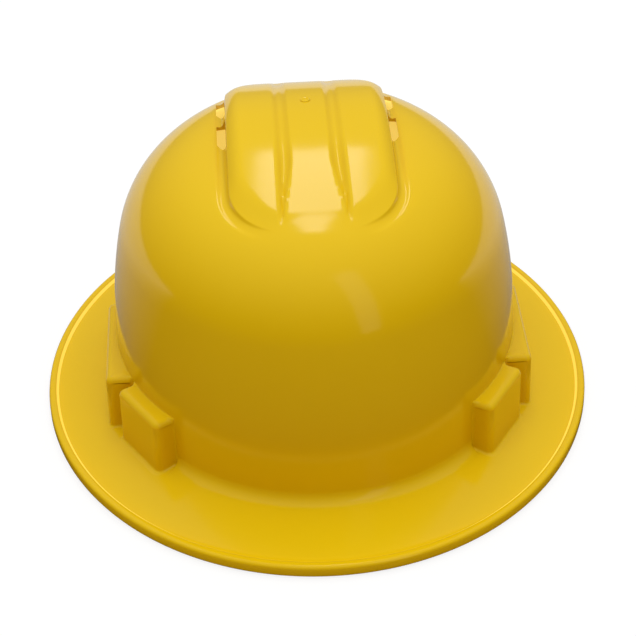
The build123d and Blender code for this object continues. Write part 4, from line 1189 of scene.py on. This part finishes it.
def brow_radius():
    """The brow arc's radius: what lands the brow, side and corner arcs on the tail's arc."""
    layer = RACK_RADIUS - LAYER_STEP
    turn = math.asin(ARC_REACH / layer)
    last = math.pi - turn
    ax, bx = math.sin(BROW_TURN), math.sin(last) - math.sin(SIDE_TURN)
    ay, by = 1 - math.cos(BROW_TURN), math.cos(SIDE_TURN) - math.cos(last)
    cx = layer * math.sin(turn) - SIDE_RADIUS * (math.sin(SIDE_TURN) - math.sin(BROW_TURN))
    cy = layer * math.cos(turn) - SIDE_RADIUS * (math.cos(BROW_TURN) - math.cos(SIDE_TURN))
    return (cx * by - bx * cy) / (ax * by - bx * ay)


brow = brow_radius()
first_hub = np.array([0, HINGE_Y + brow])
first_turn = np.linspace(0, BROW_TURN, BROW_POINTS)
second_turn = np.linspace(BROW_TURN, SIDE_TURN, SIDE_POINTS)[1:]
from_brow = np.array([-math.sin(BROW_TURN), math.cos(BROW_TURN)])
second_hub = first_hub + from_brow * (SIDE_RADIUS - brow)
radius = np.repeat([brow, SIDE_RADIUS], [len(first_turn), len(second_turn)])
hubs = np.repeat([first_hub, second_hub], [len(first_turn), len(second_turn)], axis=0)
turn = np.concatenate([first_turn, second_turn])
inward = np.column_stack([-np.sin(turn), np.cos(turn)])
places = hubs - inward * (radius - PAD_NEAR)[:, None]
keep = places[:, 1] < PAD_END
places, inward = places[keep], inward[keep]
along = np.concatenate([[0], np.cumsum(np.linalg.norm(np.diff(places, axis=0), axis=1))])
rings = pad_rings(places, inward, along, PAD_THICK, PAD_LOW, PAD_HIGH, (False, True))
for side, way in (("right", 1), ("left", -1)):
    half_rings = rings if way > 0 else rings[:, ::-1] * (-1, 1, 1)
    pad = loft(f"brow_pad_{side}_half", half_rings, sharp=50)
    pad.data.materials.append(pad_cloth)
    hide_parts("brow_pad")
    start, end = (0, BEND_Y, BEND_HEIGHT), (way * BEND_WIDTH, BEND_Y, BEND_HEIGHT)
    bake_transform(pad)
print("brow pad of radius", round(brow, 2), "and length", round(along[-1], 1), "a half")

# %% [markdown]
# The nape pad is glued to the front of the ratchet's housing, so it stays where that is. It is
# a short pad of the same section, round at both ends, so the function that made the brow pad
# makes it too.

# %% Nape pad
NAPE_OUTER, NAPE_THICK, NAPE_HALF, NAPE_LOW, NAPE_HIGH = 195.4, 4.0, 17.0, 7.0, 45.0
NAPE_MARGIN, NAPE_POINTS = 0.1, 60
turn = np.linspace(1, -1, NAPE_POINTS) * math.asin((NAPE_HALF - NAPE_MARGIN) / NAPE_OUTER)
inward = np.column_stack([-np.sin(turn), -np.cos(turn)])
places = np.array([0, HINGE_Y]) - inward * NAPE_OUTER
along = NAPE_OUTER * (turn[0] - turn)
rings = pad_rings(places, inward, along, NAPE_THICK, NAPE_LOW, NAPE_HIGH, (True, True))
nape = loft("nape_cushion", rings, sharp=50)
nape.data.materials.append(pad_cloth)
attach(nape, "root")
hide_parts("nape_pad")
print("nape pad", round(along[-1], 1), "mm long")

# %% [markdown]
# ## Floor
# The hat stands on white paper that fades into a white background. The camera sees the paper
# as a mix of its own lit surface, which keeps the hat's shadow, and a steady white glow. In
# reflections the paper in front of the hat is dark and the paper behind it is grey, which
# gives the shell the edges that the photograph shows.

# %% Paper floor
FLOOR_HALF, FLOOR_DROP = 6, 0.0005
PAPER_GREY, PAPER_GLOW_SHARE, PAPER_GLOW = 0.5, 0.6, 1.36
BEHIND_STEEPNESS, BEHIND_START = 4, 0.1


def grey(level):
    """A grey colour of one level."""
    return (level, level, level, 1)


WHITE, FRONT_GLOSS, BACK_GLOSS = grey(1), grey(0.01), grey(0.5)
corners = [(x * FLOOR_HALF, y * FLOOR_HALF, 0) for x, y in ((-1, -1), (1, -1), (1, 1), (-1, 1))]
mesh = bpy.data.meshes.new("floor")
mesh.from_pydata(corners, [], [(0, 1, 2, 3)])
floor = bpy.data.objects.new("floor", mesh)
bpy.context.scene.collection.objects.link(floor)
floor.location.z = -FLOOR_DROP
floor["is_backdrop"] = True
paper, shader, place = material("paper", roughness=0.9, Base_Color=grey(PAPER_GREY))
seen = place.node("ShaderNodeLightPath", output="Is Camera Ray")
mirrored = place.node("ShaderNodeLightPath", output="Is Glossy Ray")
behind = place.node("ShaderNodeSeparateXYZ", {0: place}, output=1)
behind = place.node("ShaderNodeClamp", {0: behind * BEHIND_STEEPNESS + BEHIND_START})
colour = seen.mix(behind.mix(FRONT_GLOSS, BACK_GLOSS), WHITE)
glow = place.node("ShaderNodeEmission", {"Color": colour, "Strength": PAPER_GLOW})
share = seen * PAPER_GLOW_SHARE + mirrored * (1 - seen)
blend = place.node("ShaderNodeMixShader", {0: share, 2: glow})
paper.node_tree.links.new(shader.outputs[0], blend.socket.node.inputs[1])
output = paper.node_tree.nodes["Material Output"]
paper.node_tree.links.new(blend.socket, output.inputs["Surface"])
floor.data.materials.append(paper)
print("floor", 2 * FLOOR_HALF, "m wide")

# %% [markdown]
# ## Light
# A product photograph like this is lit mostly from above by large soft boxes. The world does
# that here: it is bright overhead and falls off to the sides. The camera sees it as white, and
# reflections see a dimmer version that grows towards the top and the back, so that the shell
# keeps its colour.

# %% The world's light
LIT_STOPS = ((0, 0.12), (0.5, 0.13), (0.75, 0.72), (1, 1.55))
GLOSS_STOPS = ((0.42, 0.01), (0.6, 0.07), (0.8, 0.17), (1, 0.32))
LIT_UP, LIT_BACK, GLOSS_UP, GLOSS_BACK, RAMP_MIDDLE = 0.5, 0.02, 0.4, 0.3, 0.5
world = bpy.data.worlds.new("studio")
bpy.context.scene.world = world
world.use_nodes = True
start = Wire(world.node_tree, None)
seen = start.node("ShaderNodeLightPath", output="Is Camera Ray")
mirrored = start.node("ShaderNodeLightPath", output="Is Glossy Ray")
way = start.node("ShaderNodeTexCoord", output="Generated")
height = way.node("ShaderNodeSeparateXYZ", {0: way}, output=2)
behind = way.node("ShaderNodeSeparateXYZ", {0: way}, output=1)


def ramp(value, stops):
    """Greys along a value, from places and levels."""
    stops = [(place, grey(level)) for place, level in stops]
    return value.node("ShaderNodeValToRGB", {0: value}, stops=stops)


lit = ramp(height * LIT_UP + behind * LIT_BACK + RAMP_MIDDLE, LIT_STOPS)
gloss = ramp(height * GLOSS_UP + behind * GLOSS_BACK + RAMP_MIDDLE, GLOSS_STOPS)
light = seen.mix(mirrored.mix(lit, gloss), WHITE)
world.node_tree.links.new(light.socket, world.node_tree.nodes["Background"].inputs["Color"])
print("world light levels", [level for place, level in LIT_STOPS])

# %% [markdown]
# Two lamps add what the world can't: the bright window on the crown panel, from a box behind
# and above, and a faint upright streak on the front of the dome, from a tall weak one.

# %% Lamps
LAMP_AIM, LAMP_DISTANCE = Vector((0, 0, 0.12)), 2.0
LAMPS = {
    "top_light": {"azimuth": 177, "elevation": 59, "width": 0.24, "height": 0.95, "watts": 2.1},
    "front_light": {"azimuth": 30, "elevation": 33, "width": 0.45, "height": 2.4, "watts": 1.5},
}


def way_to(azimuth, elevation):
    """The direction to a place around the hat: azimuth 0 is the front, 90 the +X side."""
    level = math.cos(elevation)
    return Vector((math.sin(azimuth) * level, -math.cos(azimuth) * level, math.sin(elevation)))


def softbox(name, azimuth, elevation, width, height, watts):
    """A rectangular lamp that faces the crown from a direction in degrees."""
    lamp = bpy.data.lights.new(name, "AREA")
    lamp.shape, lamp.size, lamp.size_y, lamp.energy = "RECTANGLE", width, height, watts
    made = bpy.data.objects.new(name, lamp)
    bpy.context.scene.collection.objects.link(made)
    back = way_to(math.radians(azimuth), math.radians(elevation))
    made.location = LAMP_AIM + LAMP_DISTANCE * back
    made.rotation_mode = "QUATERNION"
    made.rotation_quaternion = (-back).to_track_quat("-Z", "Y")


for name, settings in LAMPS.items():
    softbox(name, **settings)
print("lamps", list(LAMPS))

# %% [markdown]
# ## Camera
# The camera's angles, distance and roll were fitted to the outline of the photograph. The
# photograph is square, so half its width over the focal length in pixels gives the angle.

# %% Camera
FIT_AZIMUTH, FIT_HEIGHT, FIT_ROLL = math.radians(-2.209), math.radians(35.1), math.radians(-1.8)
TARGET, DISTANCE = Vector((0.0017, -0.0035, 0.0398)), 1.1
PHOTO_HALF, FOCAL_PIXELS = 318, 2131.6
back = way_to(FIT_AZIMUTH, FIT_HEIGHT)
lens = bpy.data.cameras.new("camera")
lens.sensor_width, lens.angle = 36, 2 * math.atan(PHOTO_HALF / FOCAL_PIXELS)
lens.clip_start, lens.clip_end = 0.01, 30
camera = bpy.data.objects.new("camera", lens)
bpy.context.scene.collection.objects.link(camera)
right = (-back).cross(Vector((0, 0, 1))).normalized()
up = right.cross(-back)
c, s = math.cos(FIT_ROLL), math.sin(FIT_ROLL)
right, up = c * right + s * up, c * up - s * right
camera.matrix_world = Matrix((right, up, back)).transposed().to_4x4()
camera.location = TARGET + back * DISTANCE
bpy.context.scene.camera = camera
bpy.context.scene.view_settings.view_transform = "Standard"
print("camera at", [round(v, 3) for v in camera.location])

# %% [markdown]
# ## Finish
# The box of the dressed hat is printed here, and the solids' box was printed at the start. The
# mesh work above must not change the hat's size.

# %% Sizes for the record, and finish
low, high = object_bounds()
print("visual size", [round(b - a, 4) for a, b in zip(low, high)])
